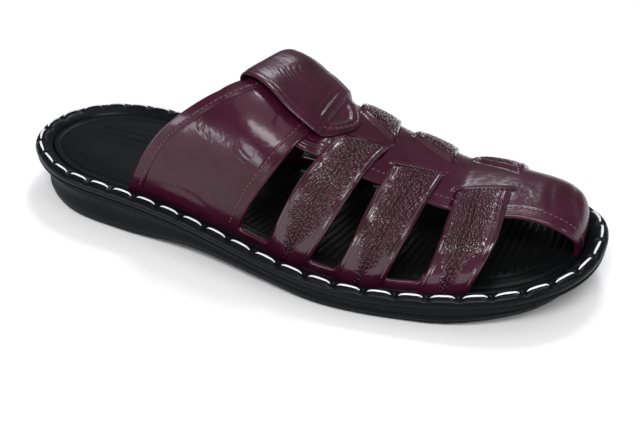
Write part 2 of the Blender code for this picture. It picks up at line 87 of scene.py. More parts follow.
# The rim's outline from above: share of the length, then medial and lateral reach as
# shares of the ball width
OUTLINE = (
    (0.000, -0.008, -0.008),
    (0.020, -0.190, 0.168),
    (0.060, -0.300, 0.275),
    (0.120, -0.365, 0.362),
    (0.200, -0.383, 0.400),
    (0.300, -0.372, 0.422),
    (0.420, -0.357, 0.469),
    (0.550, -0.405, 0.525),
    (0.650, -0.465, 0.533),
    (0.740, -0.497, 0.500),
    (0.830, -0.500, 0.444),
    (0.900, -0.461, 0.367),
    (0.955, -0.372, 0.251),
    (0.985, -0.275, 0.125),
    (1.000, -0.087, -0.087),
)

# Height of the rim over the ball's height: share of the length, share of the rise to the
# heel, share of the rise to the toe
RIM_TOP = (
    (0.00, 1.000, 0.000),
    (0.12, 0.975, 0.000),
    (0.28, 0.873, 0.000),
    (0.48, 0.458, 0.000),
    (0.66, 0.000, 0.000),
    (0.80, 0.000, 0.155),
    (0.92, 0.000, 0.598),
    (1.00, 0.000, 1.000),
)

# Height of the sole's underside: share of the length, share of the arch lift, share of
# the toe spring
UNDERSIDE = (
    (0.00, 0.00, 0.00),
    (0.24, 0.00, 0.00),
    (0.40, 1.00, 0.00),
    (0.52, 0.62, 0.00),
    (0.62, 0.00, 0.00),
    (0.78, 0.00, 0.00),
    (0.90, 0.00, 0.52),
    (1.00, 0.00, 1.00),
)

# How far the sole's side lies in from the rim: share of the length, then the inset under
# the rim and at the foot of the side, as shares of the rim's width
SIDE_INSET = (
    (0.00, 0.38, 0.60),
    (0.06, 0.29, 0.42),
    (0.20, 0.24, 0.43),
    (0.50, 0.18, 0.44),
    (0.70, 0.13, 0.36),
    (0.90, 0.18, 0.48),
    (1.00, 0.26, 0.80),
)

# The side's own curve: share of its height, share of the way from its foot to the rim,
# and the depth of the groove as a share of the rim's width
SIDE_PROFILE = (
    (0.00, 0.00, 0.00),
    (0.14, 0.13, -0.03),
    (0.28, 0.29, 0.00),
    (0.46, 0.50, 0.10),
    (0.60, 0.66, 0.11),
    (0.78, 0.87, 0.00),
    (0.92, 0.97, -0.03),
    (1.00, 1.00, 0.00),
)

# The rolled rim in section: share of its width in from the edge, share of its height
RIM_PROFILE = (
    (0.10, 0.00),
    (0.02, 0.14),
    (0.00, 0.36),
    (0.03, 0.62),
    (0.14, 0.88),
    (0.34, 1.00),
    (0.56, 0.92),
    (0.78, 0.66),
    (0.94, 0.40),
    (1.00, 0.10),
    (1.00, 0.00),
)

# Sections of the last: share of the length, tilt in degrees (90 is upright), ridge as a
# share of the ball width, height as a share of the instep height, squareness of the outer
# and of the inner side
LAST = (
    (0.210, 90, -0.050, 1.085, 3.2, 5.8),
    (0.333, 90, -0.050, 1.085, 3.2, 5.8),
    (0.456, 90, -0.015, 1.060, 3.3, 5.8),
    (0.526, 90, 0.020, 0.955, 3.1, 3.0),
    (0.614, 90, 0.008, 0.835, 2.9, 2.9),
    (0.702, 90, -0.065, 0.635, 2.8, 2.8),
    (0.789, 90, -0.120, 0.483, 2.7, 2.7),
    (0.842, 75, -0.135, 0.483, 2.6, 2.6),
    (0.867, 52, -0.140, 0.516, 2.5, 2.5),
    (0.877, 30, -0.155, 0.458, 2.5, 2.5),
    (0.884, 9, -0.170, 0.373, 2.5, 2.5),
)
TOE_TURN = (8.0, 9.6)
TOE_DROP = (9.4, 10.0)

# Edges of the straps as shares of the length, at these places from the base of the last,
# 0, to its ridge, 1
EDGE_PLACES = (0.00, 0.25, 0.50, 0.70, 0.82, 1.00)
BAND_REAR_OUTER = (0.245, 0.284, 0.343, 0.408, 0.442, 0.464)
BAND_REAR_INNER = (0.245, 0.287, 0.360, 0.455, 0.481, 0.464)
BAND_FRONT = (0.457, 0.488, 0.525, 0.550, 0.561, 0.570)
CROSS_STRAP_REAR = (
    (0.518, 0.545, 0.572, 0.592, 0.600, 0.610),
    (0.630, 0.659, 0.674, 0.680, 0.681, 0.682),
    (0.758, 0.778, 0.782, 0.780, 0.778, 0.775),
)
CROSS_STRAP_FRONT = (
    (0.579, 0.610, 0.636, 0.648, 0.653, 0.662),
    (0.700, 0.721, 0.736, 0.740, 0.742, 0.743),
    (0.825, 0.833, 0.835, 0.832, 0.831, 0.830),
)

# Where each cross strap enters its slot, as shares of the centre strap's half width: at
# the strap's rear edge, at its front edge. Then the way, in metres, that it takes to bend
# down into the slot and up on to the centre strap's border.
SLOTS = (
    (0.53, 0.18),
    (0.56, 0.30),
    (0.62, 0.40),
)
SLOT_SLOPE = 0.0022
BORDER_SLOPE = 0.0050

# The centre strap: section of the last, share of the half width. Then, as shares of the
# length, its hidden start and where it comes up from under the band
CENTRE_TAPER = (
    (2.4, 1.00),
    (6.6, 1.00),
    (7.2, 0.89),
    (8.0, 0.85),
    (8.5, 0.80),
    (9.2, 0.68),
    (10.0, 0.62),
)
CENTRE_START = 0.492
CENTRE_UP = (0.562, 0.588)

# The loop: shares of the length at its hidden end, its rear fold and its front bend, the
# slant of its fold, and how far its middle lies from the ridge at the fold and the bend.
# Then its tab: the share of its outline where it ends, the powers of its rounded outline,
# and the share of its length in which it comes down to the centre strap
LOOP_RETURN = 0.489
LOOP_REAR = 0.4625
LOOP_FRONT = 0.566
LOOP_SLANT = 0.167
LOOP_SHIFT = (-0.0042, 0.0005)
TAB_END_SHARE = 0.96
TAB_ROUNDING = (1.7, 0.68)
TAB_DROP = 0.34

# Seams, in metres: the bead along a strap's edge with the line beside it, given by its
# place and width as shares of the bead, a second line, given by its place and by shares of
# its place and depth, the row of small stitches, the band's binding, and the twin seams
# down a cross strap with the width that their gap is a share of
EDGE_BEAD = 0.0008
EDGE_BEAD_RISE = 0.00016
BEAD_LINE = (1.45, 0.35)
EDGE_LINE = 0.0021
EDGE_LINE_DEPTH = 0.00016
SECOND_LINE = (1.15, 0.8)
STITCH_ROW = 0.0042
STITCH_ROW_DEPTH = 0.00016
BINDING_WIDTH = 0.0066
BINDING_RISE = 0.00045
TWIN_SEAM_GAP = 0.0021
CROSS_STRAP_WIDTH = 0.022

# How far the straps swell between their seams, and the power of each swell's curve
CROSS_SWELL = 0.0006
BAND_SWELL = 0.0004
CENTRE_SWELL = 0.0003
LOOP_SWELL = 0.0004
CROSS_SWELL_POWER = 0.7
BAND_SWELL_POWER = 0.8

# The slot's raised lip on the centre strap: its rise, its reach and its edge, how far it
# runs past the strap, the drop under the strap's end with its edge, its reach and its
# fade, the share of the way to the ridge where the slots lie, and the length that one
# section of the last counts for past a slot's ends
SLOT_LIP_RISE = 0.0019
SLOT_LIP_REACH = 0.0042
SLOT_LIP_EDGE = (-0.00015, 0.00045)
SLOT_TAIL = 0.0024
SLOT_DROP = 0.0012
SLOT_DROP_EDGE = 0.0003
SLOT_DROP_REACH = (-0.012, -0.004)
SLOT_DROP_FADE = 0.0012
SLOT_HEIGHT = 0.93
SECTION_LENGTH = 0.034

# The border along the feet of the straps: its ends as shares of the length, the fillet in
# the windows' corners, its height, the share of the way to the ridge where it meets the
# straps' edges, and how it falls off at its ends, to this share of its height
LIP_ENDS = (0.262, 0.812)
LIP_FILLET = 0.0032
LIP_HEIGHT = 0.0062
LIP_SHARE = 0.085
LIP_FADES = (0.010, 0.012)
LIP_END_HEIGHT = 0.3

# The loop's looks: how far it stands off the band midway, and how much more along its
# inner edge, the thinner and lifted leather at its edges, the line beside them, and the
# steps between which it swells and then flattens towards its bend. Then its tab: how much
# thinner it is and by which share of its length, its raised ring, from its inner border to
# its stitches, as shares of the tab, and how far it is sunk
LOOP_BRIDGE = 0.0016
LOOP_INNER_BRIDGE = 0.9
LOOP_EDGE_FROM = 0.80
LOOP_EDGE_THINNING = 0.42
LOOP_EDGE_LIFT = 0.36
LOOP_EDGE_LINE = 0.0012
LOOP_SWELL_FROM = (1.2, 2.1)
LOOP_SWELL_TO = (0.02, 0.22)
LOOP_FRONT_FLATTENING = 0.35
LOOP_FLAT_FROM = (2.85, 3.0)
TAB_THINNING = 0.45
TAB_THIN_BY = 0.3
TAB_RING_FROM = (0.16, 0.26)
TAB_RING = (0.50, 0.76)
TAB_RING_SLOPE = 0.07
TAB_RING_RISE = 0.0004
TAB_STITCH_TROUGH = 0.05
TAB_SINK = 0.0003

# The rim's thick stitches: their flatness, how far in they lie as a share of the rim's
# width, how they arch over the cushions and sink at their ends, how they tip outwards, and
# the powers that crowd their points to the ends and keep the ends full
STITCH_FLATNESS = 0.80
STITCH_INSET = 0.34
STITCH_RISE = 0.0006
STITCH_SINK = 0.0007
STITCH_TIP = 0.25
STITCH_SPACING = 0.8
STITCH_FULLNESS = 2.6

# The pinches between the rim's cushions: their width, their depth and reach as shares of
# the rim's section, the place in the section that they are drawn towards, how much of
# that goes sideways, and the height in the section from where they begin
PINCH_WIDTH = 0.0016
PINCH_DEPTH = 0.36
PINCH_REACH = 0.22
PINCH_CORE = (0.52, 0.30)
PINCH_SIDEWAYS = 0.25
PINCH_FROM = (0.35, 0.85)

# The small stitches: half width and half height of the thread, half length as a share of
# the pitch, where the band's rows begin and end, the share of the band's swell that they
# lie on, how far before the last's end the centre strap's rows stop, how far on the tab
# its row starts, the points along each path, and the binding's row in from its step
SEAM_THREAD = (0.00034, 0.00022)
SEAM_STITCH = 0.36
SEAM_ENDS = (0.045, 0.955)
SEAM_ON_SWELL = 0.35
CENTRE_SEAM_STOP = 0.35
TAB_SEAM_START = 0.16
BAND_SEAM_POINTS = 400
CENTRE_SEAM_POINTS = 500
TAB_SEAM_POINTS = 300
BINDING_STITCHES = 0.0016

# The footbed: where its ribs begin and end and where its heel's lines do, as shares of
# the length, its sewn line and the ribs' border in from its edge, the slant of the ribs,
# how it swells inside the line and dips in the middle, the parts of a wave that stand up
# as a rib or go down as a line, and how much of the solid's thickness is shown
RIBBED = (0.42, 0.945)
RIB_BORDER = 0.0085
RIB_BORDER_FROM = (0.36, 0.40)
RIB_BORDER_GROOVE = (0.0004, 0.0005)
RIB_MARGIN = (0.0012, 0.0032)
RIB_FADES = (0.02, 0.01)
RIB_WAVE = (-0.1, 0.9)
RIB_SLANT = ((0.50, 0.24), (0.90, -0.03))
FOOTBED_LINE = 0.0030
FOOTBED_GROOVE = (0.0006, 0.00055)
FOOTBED_SWELL = (0.0007, 0.012)
FOOTBED_DIP = (0.0010, 0.012, 0.034)
HEEL_LINES = (0.085, 0.30)
HEEL_LINES_FADE = 0.02
HEEL_LINE_PITCH = 0.0052
HEEL_LINE_DEPTH = 0.0004
HEEL_LINE_BORDER = (0.0125, 0.014)
HEEL_LINE_SIDE = (-0.006, -0.004)
HEEL_LINE_WAVE = (0.55, 1.0)
FOOTBED_SHOWN = 0.9

# Creases listed one by one, soft troughs with ridges beside them: start and end as a pair of
# share across the foot and share to the toe, then depth and width, and how far the middle
# bows aside, in metres. The two lengths of each leather are what its shares count over,
# and the last three values shape every crease: the fade at its ends as a share of its
# length, and the trough's width and the ridges' width and height as shares of its own.
BAND_LEATHER = (0.150, 0.050)
LOOP_LEATHER = (LOOP_WIDTH, 0.036)
CENTRE_LEATHER = (CENTRE_STRAP_WIDTH, 0.160)
BAND_CREASES = (
    ((0.700, 0.18), (0.735, 0.30), 0.00010, 0.0009, 0.0010),
    ((0.705, 0.22), (0.742, 0.36), 0.00011, 0.0010, 0.0012),
    ((0.712, 0.28), (0.748, 0.42), 0.00010, 0.0009, 0.0010),
    ((0.722, 0.34), (0.755, 0.46), 0.00008, 0.0009, -0.0008),
    ((0.715, 0.60), (0.742, 0.84), 0.00009, 0.0010, 0.0012),
    ((0.728, 0.62), (0.758, 0.86), 0.00010, 0.0010, 0.0014),
    ((0.742, 0.60), (0.772, 0.82), 0.00008, 0.0009, 0.0010),
    ((0.600, 0.60), (0.640, 0.88), 0.00018, 0.0020, 0.0020),
    ((0.880, 0.10), (0.905, 0.90), 0.00018, 0.0034, 0.0030),
    ((0.930, 0.15), (0.945, 0.85), 0.00022, 0.0026, -0.0020),
)
LOOP_CREASES = (
    ((0.46, 0.20), (0.52, 0.42), 0.00016, 0.0010, 0.0008),
    ((0.52, 0.16), (0.58, 0.40), 0.00018, 0.0010, 0.0010),
    ((0.58, 0.18), (0.65, 0.44), 0.00018, 0.0010, 0.0012),
    ((0.65, 0.14), (0.71, 0.36), 0.00014, 0.0009, 0.0008),
    ((0.34, 0.24), (0.42, 0.40), 0.00012, 0.0011, 0.0010),
    ((0.06, 0.945), (0.94, 0.975), 0.00042, 0.0014, 0.0004),
)
CENTRE_CREASES = (
    ((0.80, 0.205), (0.95, 0.222), 0.00034, 0.0011, 0.0010),
    ((0.78, 0.222), (0.97, 0.240), 0.00040, 0.0012, 0.0012),
    ((0.82, 0.240), (0.98, 0.262), 0.00034, 0.0011, -0.0010),
    ((0.86, 0.205), (0.90, 0.270), 0.00026, 0.0011, 0.0010),
    ((0.90, 0.480), (0.99, 0.500), 0.00022, 0.0012, 0.0008),
    ((0.90, 0.640), (0.99, 0.655), 0.00022, 0.0012, 0.0008),
    ((0.10, 0.86), (0.85, 0.90), 0.00024, 0.0032, 0.0030),
    ((0.20, 0.80), (0.90, 0.82), 0.00018, 0.0030, 0.0020),
)
CREASE_FADE = 0.35
CREASE_TROUGH = 0.55
CREASE_RIDGES = (0.7, 0.45)

# Counts of points in the sampled last and outline and in the grids of the pieces. A
# strap's section counts its outer face, its rounded edges and its inner face, and the
# loop's stations count its hidden end, its fold, its way over the band and its tab. The
# footbed's crowding is how far its rows gather at heel and toe, and the power that gathers
# its columns at the sides.
LAST_SAMPLES = 481
LAST_ROWS_COUNT = 901
LAST_ARCS_COUNT = 401
RIM_SAMPLES = 2401
TOE_SAMPLES = 200
SIDE_STATIONS = 480
SIDE_STEPS = 40
SIDE_EDGE_STEPS = 7
RIM_STEPS_PER_STITCH = 22
RIM_PROFILE_STEPS = 30
INSOLE_GRID = (88, 560)
INSOLE_CROWDING = (0.14, 1.35)
BAND_STATIONS = 300
CROSS_STATIONS = 230
CENTRE_STATIONS = 360
LIP_STATIONS = 420
LOOP_STATIONS = (9, 29, 120, 64)
BAND_SECTION = (120, 6, 16)
CROSS_SECTION = (96, 6, 12)
CENTRE_SECTION = (130, 6, 16)
LIP_SECTION = (36, 6, 6)
LOOP_SECTION = (72, 8, 14)

# Steps, in sections of the last and in metres of arc, that its slopes are measured over
ROW_STEP = 0.03
ARC_STEP = 0.0006

# The rings of the sole's flange: share of the rim's width in from its edge, and share of
# the flange's edge below its top
FLANGE_RINGS = (
    (0.12, 1.0),
    (0.03, 0.7),
    (0.03, 0.0),
    (1.00, 0.0),
)

# The camera in the photograph, in metres and from the sole's heel end on the floor: its
# place, the way it looks, its right and its up, and its focal length in picture widths
CAMERA_PLACE = (0.3247, 0.3072, 0.2669)
CAMERA_AHEAD = (-0.7328328, -0.3432369, -0.58749)
CAMERA_RIGHT = (-0.4071809, 0.9129917, -0.0254931)
CAMERA_UP = (-0.5451236, -0.2205326, 0.8088298)
CAMERA_FOCAL = 1.45773

# The studio: the floor's half width, the tint and strength of the light all round, and
# the place that the soft boxes aim at. Then the soft boxes: name, place, width and height,
# in metres, power in watts, and tint. Each window stands where the leather mirrors it.
FLOOR_REACH = 6.0
WORLD_TINT = (0.95, 0.97, 1.0)
WORLD_STRENGTH = 0.24
LAMP_AIM = (0, 0, 0.03)
LAMPS = (
    ("overhead", (0.10, 0.00, 2.20), (1.80, 1.80), 9.0, (1.0, 1.0, 1.0)),
    ("camera_side", (0.95, 0.27, 1.38), (0.90, 0.38), 17.0, (1.0, 0.99, 0.98)),
    ("window_high", (-1.15, -0.27, 1.10), (0.38, 0.34), 4.0, (0.96, 0.97, 1.0)),
    ("window_far", (-0.60, 0.02, 1.38), (0.26, 0.22), 5.0, (0.97, 0.98, 1.0)),
    ("window_side", (1.42, -0.42, 0.38), (0.34, 0.34), 4.4, (0.97, 0.97, 1.0)),
    ("window_rear", (1.05, -0.98, 0.20), (0.30, 0.24), 3.0, (0.97, 0.97, 1.0)),
    ("toe_fill", (0.40, 1.50, 0.70), (0.40, 0.30), 5.0, (1.0, 0.98, 0.96)),
)


def linear_colour(hex_code):
    """An sRGB hex code as linear red, green and blue."""
    channels = [int(hex_code[i:i + 2], 16) / 255 for i in (1, 3, 5)]
    return tuple(c / 12.92 if c <= 0.04045 else ((c + 0.055) / 1.055) ** 2.4 for c in channels)


class SandalSizes(bpy.types.PropertyGroup):
    """Sizes of the seams, stitches and ribs."""

    stitch_count: bpy.props.IntProperty(
        name="Rim stitches",
        description="How many thick stitches run round the rim",
        default=50, min=20, max=90,
    )
    stitch_length: bpy.props.FloatProperty(
        name="Rim stitch length",
        description="Length of one thick stitch on the rim",
        default=0.0114, unit="LENGTH", precision=4,
    )
    stitch_width: bpy.props.FloatProperty(
        name="Rim stitch width",
        description="Width of the flat thread on the rim",
        default=0.0011, unit="LENGTH", precision=4,
    )
    first_stitch: bpy.props.FloatProperty(
        name="First stitch",
        description="Distance of the first stitch from the heel's tip along the rim",
        default=0.0122, unit="LENGTH", precision=4,
    )
    rib_pitch: bpy.props.FloatProperty(
        name="Rib pitch",
        description="Distance between the ribs of the footbed",
        default=0.0032, unit="LENGTH", precision=4,
    )
    rib_height: bpy.props.FloatProperty(
        name="Rib height",
        description="Height of the ribs of the footbed",
        default=0.0006, unit="LENGTH", precision=4,
    )
    seam_pitch: bpy.props.FloatProperty(
        name="Seam pitch",
        description="Distance between the small stitches of the seams",
        default=0.0024, unit="LENGTH", precision=4,
    )
    emboss_cell: bpy.props.FloatProperty(
        name="Emboss cell",
        description="Length of one scale of the embossed cross straps",
        default=0.0018, unit="LENGTH", precision=5,
    )


class SandalColours(bpy.types.PropertyGroup):
    """Colours of the leather, the sole and the threads."""

    leather: bpy.props.FloatVectorProperty(
        name="Leather",
        description="Colour of the straps",
        subtype="COLOR", size=3, min=0, max=1,
        default=linear_colour("#3D1225"),
    )
    # The deep tone of the leather's slow drifts, and also the painted shade in the embossed hollows
    # and in the cross straps' twin seams
    leather_deep_and_painted_shade: bpy.props.FloatVectorProperty(
        name="Deep leather",
        description="Colour in the seams and the embossed hollows",
        subtype="COLOR", size=3, min=0, max=1,
        default=linear_colour("#2B0A15"),
    )
    seam_thread: bpy.props.FloatVectorProperty(
        name="Seam thread",
        description="Colour of the small stitches on the straps",
        subtype="COLOR", size=3, min=0, max=1,
        default=linear_colour("#5A2435"),
    )
    rim_thread: bpy.props.FloatVectorProperty(
        name="Rim thread",
        description="Colour of the thick stitches on the rim",
        subtype="COLOR", size=3, min=0, max=1,
        default=linear_colour("#E9E7EC"),
    )
    sole: bpy.props.FloatVectorProperty(
        name="Sole",
        description="Colour of the moulded sole",
        subtype="COLOR", size=3, min=0, max=1,
        default=linear_colour("#141516"),
    )
    rim: bpy.props.FloatVectorProperty(
        name="Rim",
        description="Colour of the rolled rim",
        subtype="COLOR", size=3, min=0, max=1,
        default=linear_colour("#0E0F11"),
    )
    footbed: bpy.props.FloatVectorProperty(
        name="Footbed",
        description="Colour of the footbed",
        subtype="COLOR", size=3, min=0, max=1,
        default=linear_colour("#0B0C0D"),
    )
    floor: bpy.props.FloatVectorProperty(
        name="Floor",
        description="Colour of the pale floor",
        subtype="COLOR", size=3, min=0, max=1,
        default=linear_colour("#F4F4F5"),
    )


def spline(knots, values, at, closed=False):
    """A cubic through the knots, natural at its ends or closed on itself."""
    knots = np.asarray(knots, float)
    values = np.asarray(values, float)
    flat = values.ndim == 1
    if flat:
        values = values[:, None]
    gap = np.diff(knots)
    slope = np.diff(values, axis=0) / gap[:, None]
    count = len(knots)
    system = np.zeros((count, count))
    right = np.zeros((count, values.shape[1]))
    for i in range(1, count - 1):
        system[i, i - 1 : i + 2] = gap[i - 1], 2 * (gap[i - 1] + gap[i]), gap[i]
        right[i] = 6 * (slope[i] - slope[i - 1])
    system[0, 0] = 1
    system[-1, -1] = 1
    if closed:
        system[0, -1] = -1
        system[-1, 0] = 2 * gap[0]
        system[-1, 1] = gap[0]
        system[-1, -2] = gap[-1]
        system[-1, -1] = 2 * gap[-1]
        right[-1] = 6 * (slope[0] - slope[-1])
    bend = np.linalg.solve(system, right)
    at = np.asarray(at, float)
    cell = np.clip(np.searchsorted(knots, at, side="right") - 1, 0, count - 2)
    past = (at - knots[cell])[..., None]
    left = (knots[cell + 1] - at)[..., None]
    wide = gap[cell][..., None]
    curve = (bend[cell] * left**3 + bend[cell + 1] * past**3) / (6 * wide)
    curve += (values[cell] / wide - bend[cell] * wide / 6) * left
    curve += (values[cell + 1] / wide - bend[cell + 1] * wide / 6) * past
    return curve[..., 0] if flat else curve


def eased(table, index, at):
    """Reads a column smoothly, flat wherever two rows are equal and with no overshoot."""
    knots = column(table, 0)
    values = column(table, index)
    gap = np.diff(knots)
    slope = np.diff(values) / gap
    tangent = np.zeros(len(knots))
    tangent[0] = slope[0]
    tangent[-1] = slope[-1]
    for i in range(1, len(knots) - 1):
        if slope[i - 1] * slope[i] > 0:
            near = 2 * gap[i] + gap[i - 1]
            far = gap[i] + 2 * gap[i - 1]
            tangent[i] = (near + far) / (near / slope[i - 1] + far / slope[i])
    at = np.clip(np.asarray(at, float), knots[0], knots[-1])
    cell = np.clip(np.searchsorted(knots, at, side="right") - 1, 0, len(knots) - 2)
    wide = gap[cell]
    t = (at - knots[cell]) / wide
    rise = t * t * (3 - 2 * t)
    curve = values[cell] * (1 - rise) + values[cell + 1] * rise
    curve += wide * t * (1 - t) * ((1 - t) * tangent[cell] - t * tangent[cell + 1])
    return curve


def ramp(value, start, end):
    """Rises smoothly from 0 at start to 1 at end."""
    t = np.clip((value - start) / (end - start), 0, 1)
    return t * t * (3 - 2 * t)


def bell(distance, width):
    """1 at no distance, falling off softly over the width."""
    return np.exp(-((distance / width) ** 2))


def column(table, index, scale=1.0):
    """One column of a table as numbers."""
    return np.array([row[index] for row in table], float) * scale


def path_length(points):
    """Distance along a path at each of its points."""
    step = np.linalg.norm(np.diff(points, axis=0), axis=1)
    return np.concatenate([[0], np.cumsum(step)])


def unit(vectors):
    """The vectors at length 1."""
    return vectors / np.linalg.norm(vectors, axis=-1, keepdims=True)


def rim_outline():
    """The rim's edge from above, closed, from the heel's tip round the outer side."""
    lateral = column(OUTLINE, 2, BALL_WIDTH)
    medial = column(OUTLINE, 1, BALL_WIDTH)
    length = column(OUTLINE, 0, SOLE_LENGTH)
    across = np.concatenate([lateral, medial[::-1][1:]])
    along = np.concatenate([length, length[::-1][1:]])
    knots = np.stack([across, along], -1)
    place = path_length(knots)
    return spline(place, knots, np.linspace(0, place[-1], RIM_SAMPLES), closed=True)


def inward_normals(points):
    """The way inwards at each point of a closed outline."""
    ahead = unit(np.roll(points[:-1], -1, axis=0) - np.roll(points[:-1], 1, axis=0))
    inward = np.stack([-ahead[:, 1], ahead[:, 0]], -1)
    return np.concatenate([inward, inward[:1]])


RIM = rim_outline()
INWARD = inward_normals(RIM)
RIM_PLACE = path_length(RIM)
MIDDLE = (RIM.min(axis=0) + RIM.max(axis=0)) / 2
ORIGIN = np.array([MIDDLE[0], MIDDLE[1], 0.0])
UPPER_INSET = RIM_WIDTH + CLEARANCE + CROSS_STRAP_WALL
FOOTBED_DEPTH = FOOTBED_DROP + INSOLE_THICKNESS


def outline_at(place, distance):
    """Points of the outline, moved inwards, at these distances along the rim's edge."""
    place = np.mod(place, RIM_PLACE[-1])
    flat = [np.interp(place, RIM_PLACE, RIM[:, axis]) for axis in (0, 1)]
    way = [np.interp(place, RIM_PLACE, INWARD[:, axis]) for axis in (0, 1)]
    return np.stack([flat[0] + way[0] * distance, flat[1] + way[1] * distance], -1)


def rim_top(y):
    """Height of the rim's crest over the floor."""
    share = np.clip(np.asarray(y, float) / SOLE_LENGTH, 0, 1)
    heel = spline(column(RIM_TOP, 0), column(RIM_TOP, 1), share)
    toe = spline(column(RIM_TOP, 0), column(RIM_TOP, 2), share)
    return BALL_HEIGHT + heel * (HEEL_HEIGHT - BALL_HEIGHT) + toe * (TOE_HEIGHT - BALL_HEIGHT)


def underside(y):
    """Height of the sole's underside over the floor."""
    share = np.asarray(y, float) / SOLE_LENGTH
    return eased(UNDERSIDE, 1, share) * ARCH_LIFT + eased(UNDERSIDE, 2, share) * TOE_SPRING


LAST_TABLE = tuple((index, *row) for index, row in enumerate(LAST))
LAST_END = len(LAST) - 1
BASE = RIM + INWARD * UPPER_INSET
BASE_TOE = int(BASE[:, 1].argmax())
DENSE_ROWS = np.linspace(0, LAST_END, LAST_ROWS_COUNT)
DENSE_ALONG = eased(LAST_TABLE, 1, DENSE_ROWS)


def row_of(along):
    """The section of the last, counted from 0, at a share of the length."""
    return np.interp(along, DENSE_ALONG, DENSE_ROWS)


def footing(y):
    """Height at which the upper ends, in the channel between rim and insole."""
    return rim_top(y) - FOOTBED_DEPTH + FOOT_LIFT


def base_sides(y):
    """The last's base at y: x on the outer side, x on the inner side."""
    start = SOLE_LENGTH * LAST[0][0] / 2
    outer = BASE[: BASE_TOE + 1]
    outer = outer[outer[:, 1] > start]
    inner = BASE[BASE_TOE:][::-1]
    inner = inner[inner[:, 1] > start]
    return np.interp(y, outer[:, 1], outer[:, 0]), np.interp(y, inner[:, 1], inner[:, 0])


def toe_base(arc):
    """Points of the last's base curve round the toe, by arc length from the ridge."""
    place = path_length(BASE)
    ridge = LAST[-1][2] * BALL_WIDTH
    near_toe = slice(BASE_TOE - TOE_SAMPLES, BASE_TOE + TOE_SAMPLES)
    middle = np.interp(-ridge, -BASE[near_toe, 0], place[near_toe])
    x = np.interp(middle - arc, place, BASE[:, 0])
    y = np.interp(middle - arc, place, BASE[:, 1])
    return np.column_stack([x, y, footing(y)])


def last_section(row):
    """A section from the inner base over the ridge to the outer base, with arc lengths."""
    columns = (float(eased(LAST_TABLE, c, row)) for c in range(1, 7))
    along, tilt, ridge, height, outer_square, inner_square = columns
    y = along * SOLE_LENGTH
    ridge_x = ridge * BALL_WIDTH
    outer, inner = base_sides(y)
    cosine = np.cos(np.linspace(np.pi, 0, LAST_SAMPLES))
    sine = np.sqrt(1 - cosine**2)
    reach = np.where(cosine > 0, outer - ridge_x, ridge_x - inner)
    square = np.where(cosine > 0, outer_square, inner_square)
    x = ridge_x + np.sign(cosine) * np.abs(cosine) ** (2 / square) * reach
    rise = sine ** (2 / square) * height * INSTEP_HEIGHT
    lean = np.radians(tilt)
    points = np.column_stack([x, y + rise * np.cos(lean), footing(y) + rise * np.sin(lean)])
    arc = path_length(points)
    arc -= arc[LAST_SAMPLES // 2]
    turn = ramp(row, *TOE_TURN)
    if turn > 0:
        base = toe_base(arc)
        drop = ramp(row, *TOE_DROP)
        points[:, :2] += (base[:, :2] - points[:, :2]) * turn
        points[:, 2] += (base[:, 2] - points[:, 2]) * drop
        arc = path_length(points)
        arc -= arc[LAST_SAMPLES // 2]
    return points, arc


def sampled_last():
    """The last on a fine grid of sections and shares of their half girths."""
    shares = np.linspace(-1, 1, LAST_ARCS_COUNT)
    surface = np.zeros((LAST_ROWS_COUNT, LAST_ARCS_COUNT, 3))
    girths = np.zeros((LAST_ROWS_COUNT, 2))
    for i, row in enumerate(DENSE_ROWS):
        points, arc = last_section(row)
        girths[i] = -arc[0], arc[-1]
        at = np.where(shares < 0, shares * girths[i, 0], shares * girths[i, 1])
        for axis in range(3):
            surface[i, :, axis] = np.interp(at, arc, points[:, axis])
    return surface, girths


LAST_SURFACE, LAST_GIRTHS = sampled_last()


def half_girth(row, side):
    """Arc length from the ridge to the base, on the side given by the sign."""
    inner = np.interp(row, DENSE_ROWS, LAST_GIRTHS[:, 0])
    outer = np.interp(row, DENSE_ROWS, LAST_GIRTHS[:, 1])
    return np.where(np.asarray(side) > 0, outer, inner)


def on_last(row, arc):
    """Points of the last at sections and arc lengths from the ridge."""
    row, arc = np.broadcast_arrays(np.asarray(row, float), np.asarray(arc, float))
    share = np.clip(arc / half_girth(row, arc), -1, 1)
    i = np.clip(row / LAST_END, 0, 1) * (LAST_ROWS_COUNT - 1)
    j = (share + 1) / 2 * (LAST_ARCS_COUNT - 1)
    low_i = np.minimum(i.astype(int), LAST_ROWS_COUNT - 2)
    low_j = np.minimum(j.astype(int), LAST_ARCS_COUNT - 2)
    part_i = (i - low_i)[..., None]
    part_j = (j - low_j)[..., None]
    near = LAST_SURFACE[low_i, low_j] * (1 - part_j) + LAST_SURFACE[low_i, low_j + 1] * part_j
    far = LAST_SURFACE[low_i + 1, low_j] * (1 - part_j)
    far = far + LAST_SURFACE[low_i + 1, low_j + 1] * part_j
    return near * (1 - part_i) + far * part_i


def last_axes(row, arc):
    """At places on the last: the points, the way outwards and the way to the toe."""
    row, arc = np.broadcast_arrays(np.asarray(row, float), np.asarray(arc, float))
    limit = half_girth(row, arc) - ARC_STEP
    safe = np.clip(arc, -limit, limit)
    back = np.clip(row - ROW_STEP, 0, LAST_END - ROW_STEP)
    ahead = unit(on_last(back + ROW_STEP * 2, arc) - on_last(back, arc))
    across = on_last(row, safe + ARC_STEP) - on_last(row, safe - ARC_STEP)
    outward = unit(np.cross(across, ahead))
    return on_last(row, arc), outward, ahead


def lifted(row, arc, lift):
    """Points this far outwards from the last."""
    point, outward, _ = last_axes(row, arc)
    return point + outward * np.asarray(lift)[..., None]


def edge_at(edge, height):
    """A strap's edge, as a share of the length, from base to ridge."""
    return spline(EDGE_PLACES, edge, height)


def across_place(share, rear, front, to_toe):
    """The place of a strap that crosses the last: its section and arc."""
    side = np.where(share >= 0.5, 1.0, -1.0)
    height = 1 - np.abs(2 * share - 1)
    along = edge_at(rear, height) * (1 - to_toe) + edge_at(front, height) * to_toe
    row = row_of(along)
    return row, side * (1 - height) * half_girth(row, side)


